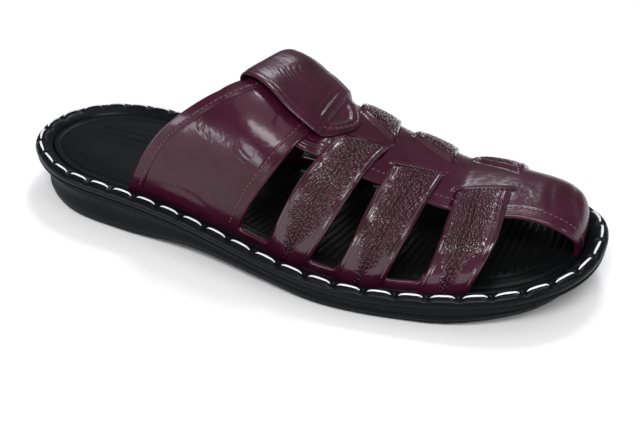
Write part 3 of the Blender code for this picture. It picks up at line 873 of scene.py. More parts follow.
def band_place(share, to_toe):
    """The way of the rear band, whose two sides differ."""
    outer = across_place(share, BAND_REAR_OUTER, BAND_FRONT, to_toe)
    inner = across_place(share, BAND_REAR_INNER, BAND_FRONT, to_toe)
    return tuple(np.where(share >= 0.5, o, i) for o, i in zip(outer, inner))


def centre_half_width(row):
    """Half the centre strap's width at a section."""
    return eased(CENTRE_TAPER, 1, row) * CENTRE_STRAP_WIDTH / 2


def slot_arc(number, to_toe, half):
    """Arc length from the ridge to a slot, at a share of its strap's width."""
    at_rear, at_front = SLOTS[number]
    return half * (at_rear * (1 - to_toe) + at_front * to_toe)


def creases(table, share, to_toe, length, width):
    """The depth of the listed creases at places given as shares of a strap."""
    depth = np.zeros(np.broadcast(share, to_toe).shape)
    for start, end, deep, wide, bow in table:
        way = np.array([(end[0] - start[0]) * length, (end[1] - start[1]) * width])
        x = (share - start[0]) * length
        y = (to_toe - start[1]) * width
        along = (x * way[0] + y * way[1]) / (way @ way)
        off = (x * way[1] - y * way[0]) / np.linalg.norm(way)
        along = np.clip(along, 0, 1)
        off = off - bow * np.sin(np.pi * along)
        past = np.hypot(x - along * way[0], y - along * way[1])
        fade = ramp(along, 0.0, CREASE_FADE) * (1 - ramp(along, 1 - CREASE_FADE, 1.0))
        near = bell(np.maximum(past - np.abs(off) - abs(bow), 0), wide)
        trough = bell(off, wide * CREASE_TROUGH)
        spread, high = CREASE_RIDGES
        ridge = bell(off - wide, wide * spread) + bell(off + wide, wide * spread)
        depth += deep * fade * near * (high * ridge - trough)
    return depth


class Section:
    """The closed section of a strap: its outer face, front edge, inner face, rear edge."""

    def __init__(self, face, edge, back):
        across = np.linspace(0, 1, face + 1)
        across = 0.45 * across + 0.55 * (0.5 - 0.5 * np.cos(np.pi * across))
        turn = np.linspace(0, np.pi, edge + 1)[1:-1]
        under = np.linspace(1, 0, back + 1)
        none = np.zeros
        self.share = np.concatenate([across, none(edge - 1) + 1, under, none(edge - 1), [0]])
        self.past = np.concatenate(
            [none(face + 1), np.sin(turn), none(back + 1), -np.sin(turn), [0]]
        )
        self.height = np.concatenate([
            none(face + 1) + 1, 0.5 + 0.5 * np.cos(turn), none(back + 1),
            0.5 - 0.5 * np.cos(turn), [1],
        ])
        self.outer = np.concatenate(
            [none(face + 1) + 1, none(len(self.share) - face - 2), [1]]
        )
        self.count = len(self.share) - 1


def grid_piece(name, points, material, node=None, marks=None, wrap=(False, False)):
    """A grid of points as one smooth piece that rides on the shoe."""
    columns = points.shape[0] - 1
    rows = points.shape[1] - 1
    bm = bmesh.new()
    bmesh.ops.create_grid(bm, x_segments=columns, y_segments=rows, size=0.5)
    placed = points - ORIGIN
    places = {}
    for vert in bm.verts:
        i = round((vert.co.x + 0.5) * columns)
        j = round((vert.co.y + 0.5) * rows)
        places[vert.index] = (i, j)
        vert.co = placed[i, j]
    for layer_name, values in (marks or {}).items():
        layer = bm.loops.layers.uv.new(layer_name)
        for face in bm.faces:
            for loop in face.loops:
                loop[layer].uv = values[places[loop.vert.index]]
    if any(wrap):
        bmesh.ops.remove_doubles(bm, verts=bm.verts, dist=1e-7)
    if wrap != (True, True):
        open_edges = [edge for edge in bm.edges if edge.is_boundary]
        bmesh.ops.holes_fill(bm, edges=open_edges, sides=0)
    bmesh.ops.recalc_face_normals(bm, faces=bm.faces)
    return finish_piece(name, bm, material, node)


def finish_piece(name, bm, material, node=None):
    """Turns a bmesh into a smooth piece that rides on the shoe's body."""
    mesh = bpy.data.meshes.new(name)
    bm.to_mesh(mesh)
    bm.free()
    mesh.shade_smooth()
    piece = bpy.data.objects.new(name, mesh)
    piece.data.materials.append(material)
    bpy.context.scene.collection.objects.link(piece)
    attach(piece, "root")
    if node:
        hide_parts(node)
    return piece


def strap_piece(name, section, stations, place, lift, wall, relief, material, node=None):
    """A strap with rounded edges, swept along shares of its length.

    The relief takes shares along and across, the section, the arc and the distances to
    the strap's rear and front edge.
    """
    share = stations[:, None]
    ends = [on_last(*place(stations, np.full(len(stations), t))) for t in (0.0, 1.0)]
    width = np.linalg.norm(ends[1] - ends[0], axis=1)[:, None]
    radius = wall / 2
    to_toe = section.share[None, :] + section.past[None, :] * radius / width
    row, arc = place(np.broadcast_to(share, to_toe.shape), to_toe)
    height = section.height[None, :] * wall
    rear = section.share[None, :] * width
    raised = relief(share, section.share[None, :], row, arc, rear, width - rear)
    total = lift(share, section.share[None, :], row, arc) + height + raised * section.outer
    points = lifted(row, arc, total)
    length = path_length(on_last(*place(stations, np.full(len(stations), 0.5))))[:, None]
    face = np.broadcast_to(section.outer[None, :], to_toe.shape) > 0.5
    marks = {
        "Lengths": np.stack([
            np.broadcast_to(length, to_toe.shape) / MM, np.where(face, rear, 0) / MM,
        ], -1),
        "Shares": np.stack([
            np.broadcast_to(share, to_toe.shape),
            np.where(face, np.broadcast_to(section.share[None, :], to_toe.shape), -1.0),
        ], -1),
    }
    return grid_piece(name, points, material, node, marks, (False, True))


def edge_relief(distance):
    """A thin bead along an edge with a line sunk beside it."""
    bead = EDGE_BEAD_RISE * bell(distance - EDGE_BEAD / 2, EDGE_BEAD / 2)
    place, width = BEAD_LINE
    line = EDGE_LINE_DEPTH * bell(distance - EDGE_BEAD * place, EDGE_BEAD * width)
    return bead - line


def seam_relief(distance):
    """An edge with its bead, a second line and the trough of a row of stitches."""
    place, depth = SECOND_LINE
    second = depth * bell(distance - EDGE_LINE * place, EDGE_BEAD * BEAD_LINE[1])
    trough = STITCH_ROW_DEPTH * bell(distance - STITCH_ROW, 0.6 * MM)
    return edge_relief(distance) - EDGE_LINE_DEPTH * second - trough


def add_node(tree, kind, links=None, **settings):
    """Adds a node with its settings; its inputs take values or other nodes' outputs."""
    node = tree.nodes.new(kind)
    for name, value in settings.items():
        setattr(node, name, value)
    for name, value in (links or {}).items():
        if isinstance(value, bpy.types.NodeSocket):
            tree.links.new(value, node.inputs[name])
        else:
            node.inputs[name].default_value = value
    return node


def new_material(name):
    """An empty Principled material: its tree and its shader."""
    material = bpy.data.materials.new(name)
    material.use_nodes = True
    return material, material.node_tree, material.node_tree.nodes["Principled BSDF"]


def leather_bump(tree, coords, strength=1.0, normal=None):
    """Calf grain under a gloss finish: fine pores, short wrinkles and slow waves."""
    links = {"Vector": coords, "Scale": 1 / (9 * MM), "Detail": 3.0, "Distortion": 0.6}
    waves = add_node(tree, "ShaderNodeTexNoise", links)
    links = {"Strength": 0.8 * strength, "Distance": 0.28 * MM, "Height": waves.outputs["Fac"]}
    if normal is not None:
        links["Normal"] = normal
    slow = add_node(tree, "ShaderNodeBump", links)
    links = {"Vector": coords, "Scale": 1 / (1.9 * MM), "Randomness": 1.0}
    cells = add_node(tree, "ShaderNodeTexVoronoi", links, feature="SMOOTH_F1")
    links = {
        "Strength": 0.35 * strength, "Distance": 0.10 * MM,
        "Height": cells.outputs["Distance"], "Normal": slow.outputs["Normal"],
    }
    wrinkles = add_node(tree, "ShaderNodeBump", links)
    links = {"Vector": coords, "Scale": 1 / (0.45 * MM), "Detail": 2.0}
    pores = add_node(tree, "ShaderNodeTexNoise", links)
    links = {
        "Strength": 0.30 * strength, "Distance": 0.04 * MM,
        "Height": pores.outputs["Fac"], "Normal": wrinkles.outputs["Normal"],
    }
    return add_node(tree, "ShaderNodeBump", links).outputs["Normal"]


def leather_colour(tree, coords, colours):
    """Dyed leather: slow drifts between the colour and its deeper shade."""
    links = {"Vector": coords, "Scale": 1 / (28 * MM), "Detail": 4.0, "Roughness": 0.6}
    drift = add_node(tree, "ShaderNodeTexNoise", links)
    shades = add_node(tree, "ShaderNodeValToRGB", {"Fac": drift.outputs["Fac"]})
    shades.color_ramp.elements[0].position = 0.30
    shades.color_ramp.elements[0].color = (*colours.leather_deep_and_painted_shade, 1)
    shades.color_ramp.elements[1].position = 0.62
    shades.color_ramp.elements[1].color = (*colours.leather, 1)
    return shades.outputs["Color"]


def gloss_leather(colours):
    """PU-coated calf leather, a clear film over a dyed, finely pored base.

    The eye sees a deep plum with crisp highlights that the grain breaks up.
    """
    material, tree, shader = new_material("coated_leather")
    coords = add_node(tree, "ShaderNodeTexCoord").outputs["Object"]
    tree.links.new(leather_colour(tree, coords, colours), shader.inputs["Base Color"])
    links = {"Vector": coords, "Scale": 1 / (14 * MM), "Detail": 5.0}
    patches = add_node(tree, "ShaderNodeTexNoise", links)
    links = {"Value": patches.outputs["Fac"], "From Min": 0.3, "From Max": 0.7,
             "To Min": 0.25, "To Max": 0.36}
    rough = add_node(tree, "ShaderNodeMapRange", links)
    tree.links.new(rough.outputs["Result"], shader.inputs["Roughness"])
    surface = leather_bump(tree, coords)
    tree.links.new(surface, shader.inputs["Normal"])
    tree.links.new(surface, shader.inputs["Coat Normal"])
    shader.inputs["Coat Weight"].default_value = 0.34
    shader.inputs["Coat Roughness"].default_value = 0.15
    shader.inputs["Specular IOR Level"].default_value = 0.12
    shader.inputs["IOR"].default_value = 1.5
    return material


def embossed_leather(colours, sizes):
    """The same leather pressed with rows of small scales between smooth margins.

    The eye sees a sparkle on every scale, dull hollows between, and two seams; the hollows and the
    seams' needle holes are painted darker as shade.
    """
    material, tree, shader = new_material("embossed_coated_leather")
    coords = add_node(tree, "ShaderNodeTexCoord").outputs["Object"]
    lengths = add_node(tree, "ShaderNodeUVMap", uv_map="Lengths").outputs["UV"]
    shares = add_node(tree, "ShaderNodeUVMap", uv_map="Shares").outputs["UV"]
    cell = sizes.emboss_cell / MM
    links = {"Vector": lengths, "Rotation": (0, 0, math.radians(24)),
             "Scale": (1 / cell, 1.45 / cell, 1)}
    lattice = add_node(tree, "ShaderNodeMapping", links).outputs["Vector"]
    links = {"Vector": lattice, "Scale": 1.0, "Randomness": 0.60}
    scales = add_node(tree, "ShaderNodeTexVoronoi", links, voronoi_dimensions="2D")
    split = add_node(tree, "ShaderNodeSeparateXYZ", {"Vector": shares})
    links = {0: split.outputs["Y"], 1: 0.5}
    from_middle = add_node(tree, "ShaderNodeMath", links, operation="SUBTRACT")
    links = {0: from_middle.outputs[0]}
    from_middle = add_node(tree, "ShaderNodeMath", links, operation="ABSOLUTE")
    links = {0: split.outputs["X"], 1: 0.5}
    from_ridge = add_node(tree, "ShaderNodeMath", links, operation="SUBTRACT")
    from_ridge = add_node(tree, "ShaderNodeMath", {0: from_ridge.outputs[0]}, operation="ABSOLUTE")
    links = {"Value": from_ridge.outputs[0], "From Min": 0.32, "From Max": 0.475,
             "To Min": 0.31, "To Max": -0.05}
    reach = add_node(tree, "ShaderNodeMapRange", links)
    links = {"Vector": lengths, "Scale": 0.22, "Detail": 5.0}
    ragged = add_node(tree, "ShaderNodeTexNoise", links)
    links = {0: ragged.outputs["Fac"], 1: 0.34, 2: reach.outputs["Result"]}
    reach = add_node(tree, "ShaderNodeMath", links, operation="MULTIPLY_ADD")
    links = {0: reach.outputs[0], 1: from_middle.outputs[0]}
    inside = add_node(tree, "ShaderNodeMath", links, operation="SUBTRACT")
    links = {"Value": inside.outputs[0], "From Min": 0.02, "From Max": 0.22}
    mask = add_node(tree, "ShaderNodeMapRange", links, interpolation_type="SMOOTHSTEP")
    links = {"Value": scales.outputs["Distance"], "From Min": 0.10, "From Max": 0.60,
             "To Min": 1.0, "To Max": 0.0}
    dome = add_node(tree, "ShaderNodeMapRange", links, interpolation_type="SMOOTHSTEP")
    links = {0: dome.outputs["Result"], 1: mask.outputs["Result"]}
    height = add_node(tree, "ShaderNodeMath", links, operation="MULTIPLY")
    links = {"Strength": 1.0, "Distance": 0.34 * MM, "Height": height.outputs[0]}
    pressed = add_node(tree, "ShaderNodeBump", links).outputs["Normal"]
    seams, sunk = twin_seams(tree, lengths, from_middle.outputs[0], sizes, pressed)
    surface = leather_bump(tree, coords, 0.8, seams)
    tree.links.new(surface, shader.inputs["Normal"])
    tree.links.new(surface, shader.inputs["Coat Normal"])
    links = {0: mask.outputs["Result"], 1: height.outputs[0]}
    hollow = add_node(tree, "ShaderNodeMath", links, operation="SUBTRACT")
    # Painted shade: the base colour darkens towards the deep shade in the hollows between the scales
    # and in the twin seams' needle holes
    painted_shade = add_node(tree, "ShaderNodeMath", {0: hollow.outputs[0], 1: sunk}, operation="MAXIMUM")
    links = {
        "Fac": painted_shade.outputs[0], "Color1": leather_colour(tree, coords, colours),
        "Color2": (*colours.leather_deep_and_painted_shade, 1),
    }
    mixed = add_node(tree, "ShaderNodeMixRGB", links)
    tree.links.new(mixed.outputs["Color"], shader.inputs["Base Color"])
    links = {"Value": hollow.outputs[0], "From Min": 0.0, "From Max": 1.0,
             "To Min": 0.25, "To Max": 0.50}
    rough = add_node(tree, "ShaderNodeMapRange", links)
    tree.links.new(rough.outputs["Result"], shader.inputs["Roughness"])
    links = {"Value": hollow.outputs[0], "From Min": 0.0, "From Max": 0.8,
             "To Min": 1.0, "To Max": 0.12}
    film = add_node(tree, "ShaderNodeMapRange", links)
    tree.links.new(film.outputs["Result"], shader.inputs["Coat Weight"])
    shader.inputs["Coat Roughness"].default_value = 0.10
    shader.inputs["Specular IOR Level"].default_value = 0.15
    shader.inputs["IOR"].default_value = 1.5
    return material


def twin_seams(tree, lengths, from_middle, sizes, normal):
    """Two seams side by side down a strap's middle, each with its row of needle holes; their depth
    also masks the painted shade in the holes.
    """
    links = {0: from_middle, 1: TWIN_SEAM_GAP / 2 / CROSS_STRAP_WIDTH}
    off = add_node(tree, "ShaderNodeMath", links, operation="SUBTRACT")
    off = add_node(tree, "ShaderNodeMath", {0: off.outputs[0]}, operation="ABSOLUTE")
    links = {"Value": off.outputs[0], "From Min": 0.004, "From Max": 0.022,
             "To Min": 1.0, "To Max": 0.0}
    line = add_node(tree, "ShaderNodeMapRange", links, interpolation_type="SMOOTHSTEP")
    split = add_node(tree, "ShaderNodeSeparateXYZ", {"Vector": lengths})
    links = {0: split.outputs["X"], 1: 2 * math.pi / (sizes.seam_pitch / MM)}
    phase = add_node(tree, "ShaderNodeMath", links, operation="MULTIPLY")
    wave = add_node(tree, "ShaderNodeMath", {0: phase.outputs[0]}, operation="SINE")
    links = {"Value": wave.outputs[0], "From Min": -0.2, "From Max": 0.8,
             "To Min": 0.45, "To Max": 1.0}
    holes = add_node(tree, "ShaderNodeMapRange", links, interpolation_type="SMOOTHSTEP")
    links = {0: line.outputs["Result"], 1: holes.outputs["Result"]}
    depth = add_node(tree, "ShaderNodeMath", links, operation="MULTIPLY")
    links = {"Strength": 1.0, "Distance": -0.55 * MM, "Height": depth.outputs[0],
             "Normal": normal}
    pressed = add_node(tree, "ShaderNodeBump", links)
    return pressed.outputs["Normal"], depth.outputs[0]


def moulded_polyurethane(name, colour, roughness, grain, gloss):
    """Moulded polyurethane: near black, satin, with the faint orange peel of its mould."""
    material, tree, shader = new_material(name)
    coords = add_node(tree, "ShaderNodeTexCoord").outputs["Object"]
    links = {"Vector": coords, "Scale": 1 / (22 * MM), "Detail": 4.0}
    drift = add_node(tree, "ShaderNodeTexNoise", links)
    links = {"Value": drift.outputs["Fac"], "From Min": 0.3, "From Max": 0.7,
             "To Min": roughness * 0.88, "To Max": roughness * 1.12}
    rough = add_node(tree, "ShaderNodeMapRange", links)
    tree.links.new(rough.outputs["Result"], shader.inputs["Roughness"])
    links = {"Vector": coords, "Scale": 1 / (0.9 * MM), "Detail": 2.0}
    peel = add_node(tree, "ShaderNodeTexNoise", links)
    links = {"Strength": 0.35, "Distance": grain, "Height": peel.outputs["Fac"]}
    bump = add_node(tree, "ShaderNodeBump", links)
    tree.links.new(bump.outputs["Normal"], shader.inputs["Normal"])
    shader.inputs["Base Color"].default_value = (*colour, 1)
    shader.inputs["IOR"].default_value = 1.48
    shader.inputs["Specular IOR Level"].default_value = gloss
    return material


def twisted_thread(name, colour, roughness):
    """Waxed polyester thread: pale or plum, its plies showing as a slanted twist."""
    material, tree, shader = new_material(name)
    coords = add_node(tree, "ShaderNodeTexCoord").outputs["UV"]
    links = {"Vector": coords, "Scale": 3.0, "Distortion": 0.4}
    plies = add_node(tree, "ShaderNodeTexWave", links, bands_direction="DIAGONAL")
    links = {"Strength": 0.5, "Distance": 0.12 * MM, "Height": plies.outputs["Fac"]}
    bump = add_node(tree, "ShaderNodeBump", links)
    tree.links.new(bump.outputs["Normal"], shader.inputs["Normal"])
    shader.inputs["Base Color"].default_value = (*colour, 1)
    shader.inputs["Roughness"].default_value = roughness
    shader.inputs["Sheen Weight"].default_value = 0.15
    return material


def finish(context, name):
    """The named finish, made once."""
    found = bpy.data.materials.get(name)
    if found:
        return found
    colours = context.scene.sandal_colours
    sizes = context.scene.sandal_sizes
    if name == "coated_leather":
        return gloss_leather(colours)
    if name == "embossed_coated_leather":
        return embossed_leather(colours, sizes)
    if name == "moulded_polyurethane_sole":
        return moulded_polyurethane(name, colours.sole, 0.46, 0.05 * MM, 0.05)
    if name == "moulded_polyurethane_rim":
        return moulded_polyurethane(name, colours.rim, 0.30, 0.06 * MM, 0.10)
    if name == "pressed_polyurethane_footbed":
        return moulded_polyurethane(name, colours.footbed, 0.42, 0.04 * MM, 0.14)
    if name == "polyester_rim_thread":
        return twisted_thread(name, colours.rim_thread, 0.42)
    if name == "polyester_seam_thread":
        return twisted_thread(name, colours.seam_thread, 0.40)
    raise ValueError(f"no finish is called {name}")


def stitch_row(name, path, outward, sizes, material):
    """Small stitches along a path on a surface, as flattened grains of thread."""
    place = path_length(path)
    count = int(place[-1] / sizes.seam_pitch)
    bm = bmesh.new()
    bm.loops.layers.uv.new("Plies")
    for number in range(count):
        middle = (number + 0.5) * place[-1] / count
        reach = sizes.seam_pitch * SEAM_STITCH
        start, at, end = (
            Vector([np.interp(middle + d, place, path[:, axis]) for axis in range(3)])
            for d in (-reach, 0.0, reach)
        )
        up = Vector([np.interp(middle, place, outward[:, axis]) for axis in range(3)]).normalized()
        along = (end - start).normalized()
        side = along.cross(up).normalized()
        turn = Matrix((side, up, along)).transposed().to_4x4()
        size = Matrix.Diagonal((*SEAM_THREAD, reach, 1))
        bmesh.ops.create_uvsphere(
            bm, u_segments=8, v_segments=6, radius=1.0,
            matrix=Matrix.Translation(at - Vector(ORIGIN)) @ turn @ size, calc_uvs=True,
        )
    return finish_piece(name, bm, material)


def sole_side_points():
    """The outsole's side as rings from the middle of its underside up to its flange."""
    place = np.linspace(0, RIM_PLACE[-1], SIDE_STATIONS + 1)
    edge_y = outline_at(place, 0.0)[:, 1]
    share = edge_y / SOLE_LENGTH
    top = eased(SIDE_INSET, 1, share) * RIM_WIDTH
    foot = eased(SIDE_INSET, 2, share) * RIM_WIDTH
    depth = RIM_ROLL + CLEARANCE + FLANGE_EDGE
    rings = []
    for angle in np.linspace(0, np.pi / 2, SIDE_EDGE_STEPS):
        flat = outline_at(place, foot + SOLE_EDGE_RADIUS * (1 - np.sin(angle)))
        rise = SOLE_EDGE_RADIUS * (1 - np.cos(angle))
        rings.append(np.column_stack([flat, underside(flat[:, 1]) + rise]))
    for height in np.linspace(0, 1, SIDE_STEPS)[1:]:
        way = float(spline(column(SIDE_PROFILE, 0), column(SIDE_PROFILE, 1), height))
        groove = float(spline(column(SIDE_PROFILE, 0), column(SIDE_PROFILE, 2), height))
        flat = outline_at(place, foot + (top - foot) * way + groove * RIM_WIDTH)
        low = underside(flat[:, 1]) + SOLE_EDGE_RADIUS
        rings.append(np.column_stack([flat, low + height * (rim_top(flat[:, 1]) - depth - low)]))
    for inwards, below in FLANGE_RINGS:
        flat = outline_at(place, inwards * RIM_WIDTH)
        height = rim_top(flat[:, 1]) - RIM_ROLL - CLEARANCE - FLANGE_EDGE * below
        rings.append(np.column_stack([flat, height]))
    flat = outline_at(place, RIM_WIDTH)
    height = rim_top(flat[:, 1]) - FOOTBED_DEPTH - CLEARANCE
    rings.append(np.column_stack([flat, height]))
    return np.stack(rings, 1)


def rim_section():
    """The rim's section as smooth points: shares of its width and of its height."""
    knots = np.array(RIM_PROFILE)
    place = path_length(knots * np.array([RIM_WIDTH, RIM_ROLL]))
    return spline(place, knots, np.linspace(0, place[-1], RIM_PROFILE_STEPS + 1))


def cushion(place, sizes):
    """1 over the middle of each rim stitch, 0 at the pinch between two."""
    pitch = RIM_PLACE[-1] / sizes.stitch_count
    phase = (place - sizes.first_stitch) / pitch
    from_pinch = (0.5 - np.abs(phase - np.round(phase))) * pitch
    return 1 - bell(from_pinch, PINCH_WIDTH)


def rim_points(place, inwards, upwards, sizes):
    """Points of the rim, drawn in towards its core at each pinch."""
    near_row = bell(inwards - STITCH_INSET, PINCH_REACH) * ramp(upwards, *PINCH_FROM)
    pinch = (1 - cushion(place, sizes)) * near_row * PINCH_DEPTH
    inwards = inwards + (PINCH_CORE[0] - inwards) * pinch * PINCH_SIDEWAYS
    upwards = upwards + (PINCH_CORE[1] - upwards) * pinch
    flat = outline_at(place, inwards * RIM_WIDTH)
    height = rim_top(flat[..., 1]) - RIM_ROLL * (1 - upwards)
    return np.concatenate([flat, height[..., None]], -1)


def insole_points(sizes):
    """The footbed's top: a lined border, ribs under the ball and toes, lines at the heel."""
    columns, rows = INSOLE_GRID
    inset = RIM_WIDTH + CLEARANCE
    outline = RIM + INWARD * inset
    toe = int(outline[:, 1].argmax())
    heel = int(outline[:, 1].argmin())
    outer = outline[heel: toe + 1] if heel < toe else outline[: toe + 1]
    inner = outline[toe:][::-1]
    low = outline[:, 1].min()
    high = outline[:, 1].max()
    turn = np.linspace(0, np.pi, rows + 1)
    ends = 0.5 - 0.5 * np.cos(turn)
    even = np.linspace(0, 1, rows + 1)
    to_ends, to_sides = INSOLE_CROWDING
    y = low + (high - low) * ((1 - to_ends) * even + to_ends * ends)
    reach_outer = np.interp(y, outer[:, 1], outer[:, 0])
    reach_inner = np.interp(y, inner[:, 1], inner[:, 0])
    across = np.linspace(-1, 1, columns + 1)
    across = np.sign(across) * (1 - (1 - np.abs(across)) ** to_sides)
    middle = (reach_outer + reach_inner) / 2
    half = (reach_outer - reach_inner) / 2
    x = middle[:, None] + half[:, None] * across[None, :]
    y = np.broadcast_to(y[:, None], x.shape)
    return x, y, footbed_height(x, y, outline, sizes)


def distance_inside(x, y, outline):
    """How far points lie inside a closed outline."""
    nearest = np.full(x.shape, np.inf)
    for point in outline[::6]:
        nearest = np.minimum(nearest, np.hypot(x - point[0], y - point[1]))
    return nearest


def footbed_height(x, y, outline, sizes):
    """Heights of the footbed's top, with its sewn line, ribs and lines."""
    edge = distance_inside(x, y, outline)
    share = y / SOLE_LENGTH
    height = rim_top(y) - FOOTBED_DROP
    depth, width = FOOTBED_GROOVE
    height = height - depth * bell(edge - FOOTBED_LINE, width)
    swell, full = FOOTBED_SWELL
    dip, start, end = FOOTBED_DIP
    height = height + swell * ramp(edge, FOOTBED_LINE, full) - dip * ramp(edge, start, end)
    depth, width = RIB_BORDER_GROOVE
    height = height - depth * bell(edge - RIB_BORDER, width) * ramp(share, *RIB_BORDER_FROM)
    slant = np.interp(share, column(RIB_SLANT, 0), column(RIB_SLANT, 1))
    phase = (y + slant * x) / sizes.rib_pitch
    rib = ramp(np.cos(2 * np.pi * phase), *RIB_WAVE)
    zone = ramp(share, RIBBED[0], RIBBED[0] + RIB_FADES[0])
    zone = zone * (1 - ramp(share, RIBBED[1] - RIB_FADES[1], RIBBED[1]))
    zone = zone * ramp(edge, RIB_BORDER + RIB_MARGIN[0], RIB_BORDER + RIB_MARGIN[1])
    height = height + sizes.rib_height * rib * zone
    lines = ramp(np.cos(2 * np.pi * x / HEEL_LINE_PITCH), *HEEL_LINE_WAVE)
    heel = ramp(share, HEEL_LINES[0], HEEL_LINES[0] + HEEL_LINES_FADE)
    heel = heel * (1 - ramp(share, HEEL_LINES[1] - HEEL_LINES_FADE, HEEL_LINES[1]))
    heel = heel * ramp(edge, *HEEL_LINE_BORDER) * (1 - ramp(x, *HEEL_LINE_SIDE))
    return height - HEEL_LINE_DEPTH * lines * heel


def loop_shift(y):
    """How far the loop's middle lies from the ridge, positive towards the outer side."""
    return np.interp(y, (LOOP_REAR * SOLE_LENGTH, LOOP_FRONT * SOLE_LENGTH), LOOP_SHIFT)


def loop_rail(t, steps):
    """Points of the loop's inner face, with the way out of its outer face.

    The steps run from its hidden end, 0, through the fold, 1 to 2, over the band to its
    bend, 3, and to the end of the tab, 4.
    """
    half = LOOP_WIDTH / 2
    arc = t * half + 0 * steps
    fold_y = LOOP_REAR * SOLE_LENGTH - LOOP_SLANT * arc
    middle = UPPER_WALL / 2
    edge = np.where(t > 0, LOOP_OUTER_LIFT, LOOP_INNER_LIFT) * t * t
    high = middle + LOOP_FOLD_RADIUS + edge
    back_y = LOOP_RETURN * SOLE_LENGTH
    front_y = LOOP_FRONT * SOLE_LENGTH
    hidden = back_y + (fold_y - back_y) * np.clip(steps, 0, 1)
    top = fold_y + (front_y - fold_y) * np.clip(steps - 2, 0, 1)
    way = np.clip(steps - 3, 0, 1)
    tab = front_y + way * TAB_LENGTH
    y = np.where(steps < 1, hidden, np.where(steps < 2, fold_y, np.where(steps < 3, top, tab)))
    narrow = (1 - (TAB_END_SHARE * way) ** TAB_ROUNDING[0]) ** TAB_ROUNDING[1]
    arc = arc * narrow + loop_shift(y)
    point, outward, ahead = last_axes(row_of(y / SOLE_LENGTH), arc)
    turn = np.pi * (1 - np.clip(steps - 1, 0, 1))
    reach = LOOP_FOLD_RADIUS + edge * (1 - turn / np.pi)
    low = UPPER_WALL + CLEARANCE
    lift = np.where(steps < 1, middle - LOOP_FOLD_RADIUS, middle + reach * np.cos(turn))
    lift = np.where(steps >= 2, high, lift)
    lift = np.where(steps >= 3, high + (low - high) * ramp(way, 0.0, TAB_DROP), lift)
    turning = ((steps >= 1) & (steps <= 2))[..., None]
    facing = np.where(turning, outward * np.cos(turn)[..., None] - ahead * np.sin(turn)[..., None],
                      np.where((steps < 1)[..., None], -outward, outward))
    behind = np.where(turning, ahead * (reach * np.sin(turn))[..., None], 0.0)
    return point + outward * lift[..., None] - behind, facing


def make_outsole(context):
    """The sole's side and underside, closed above under the rim."""
    material = finish(context, "moulded_polyurethane_sole")
    points = sole_side_points()
    grid_piece("moulded_outsole", points, material, "outsole", wrap=(True, False))


def make_rim(context):
    """The rolled rim, pinched between its stitches."""
    sizes = context.scene.sandal_sizes
    count = sizes.stitch_count * RIM_STEPS_PER_STITCH
    place = np.linspace(0, RIM_PLACE[-1], count + 1)[:, None]
    section = rim_section()
    section = np.vstack([section, section[:1]])
    shape = (count + 1, len(section))
    inwards = np.broadcast_to(section[None, :, 0], shape)
    upwards = np.broadcast_to(section[None, :, 1], shape)
    points = rim_points(np.broadcast_to(place, shape), inwards, upwards, sizes)
    material = finish(context, "moulded_polyurethane_rim")
    grid_piece("cushioned_rim", points, material, "rim", wrap=(True, True))


def make_rim_stitches(context):
    """Thick flat stitches, each bent over its own cushion and sunk at both ends."""
    sizes = context.scene.sandal_sizes
    pitch = RIM_PLACE[-1] / sizes.stitch_count
    bm = bmesh.new()
    bm.loops.layers.uv.new("Plies")
    for number in range(sizes.stitch_count):
        middle = sizes.first_stitch + number * pitch
        made = bmesh.ops.create_uvsphere(bm, u_segments=14, v_segments=16, radius=1.0, calc_uvs=True)
        ball = np.array([vert.co[:] for vert in made["verts"]])
        along = np.sign(ball[:, 2]) * np.abs(ball[:, 2]) ** STITCH_SPACING
        fullness = (1 - np.abs(along) ** STITCH_FULLNESS) ** 0.5
        ring = np.hypot(ball[:, 0], ball[:, 1])
        ring = np.where(ring < 1e-6, 1.0, ring)
        across = ball[:, 0] / ring * fullness * sizes.stitch_width / 2
        proud = ball[:, 1] / ring * fullness * sizes.stitch_width * STITCH_FLATNESS / 2
        place = middle + along * sizes.stitch_length / 2
        inwards = STITCH_INSET + across / RIM_WIDTH
        crest = rim_points(place, np.full(len(place), STITCH_INSET), np.ones(len(place)), sizes)
        arch = STITCH_RISE * (1 - along ** 2) - STITCH_SINK * np.abs(along) ** 6
        flat = outline_at(place, inwards * RIM_WIDTH)
        tip = across * STITCH_TIP
        placed = np.column_stack([flat, crest[:, 2] + arch + proud - tip]) - ORIGIN
        for vert, co in zip(made["verts"], placed):
            vert.co = co
    bmesh.ops.recalc_face_normals(bm, faces=bm.faces)
    finish_piece("rim_stitches", bm, finish(context, "polyester_rim_thread"))


def make_insole(context):
    """The footbed's relief with the sides of its pad."""
    x, y, z = insole_points(context.scene.sandal_sizes)
    points = np.stack([x, y, z], -1)
    under = points[:, [-1, 0]].copy()
    under[..., 2] -= INSOLE_THICKNESS * FOOTBED_SHOWN
    points = np.concatenate([points, under, points[:, :1]], 1)
    material = finish(context, "pressed_polyurethane_footbed")
    grid_piece("ribbed_footbed", points, material, "insole", wrap=(False, True))


def band_relief(share, to_toe, row, arc, rear, front):
    """A bound rear edge, a beaded and stitched front edge, and the listed creases."""
    step = (BINDING_WIDTH - 0.4 * MM, BINDING_WIDTH + 0.4 * MM)
    binding = BINDING_RISE * (1 - ramp(rear, *step))
    groove = EDGE_LINE_DEPTH * bell(rear - BINDING_WIDTH - 0.5 * MM, 0.5 * MM)
    trough = STITCH_ROW_DEPTH * bell(rear - BINDING_WIDTH + BINDING_STITCHES, 0.6 * MM)
    swell = BAND_SWELL * np.sin(np.pi * np.clip(to_toe, 0, 1)) ** BAND_SWELL_POWER
    soft = creases(BAND_CREASES, share, to_toe, *BAND_LEATHER)
    return binding - groove - trough + swell + seam_relief(front) + soft


def on_the_last(share, to_toe, row, arc):
    """No lift: the strap lies straight on the last."""
    return np.zeros(np.broadcast(share, to_toe).shape)


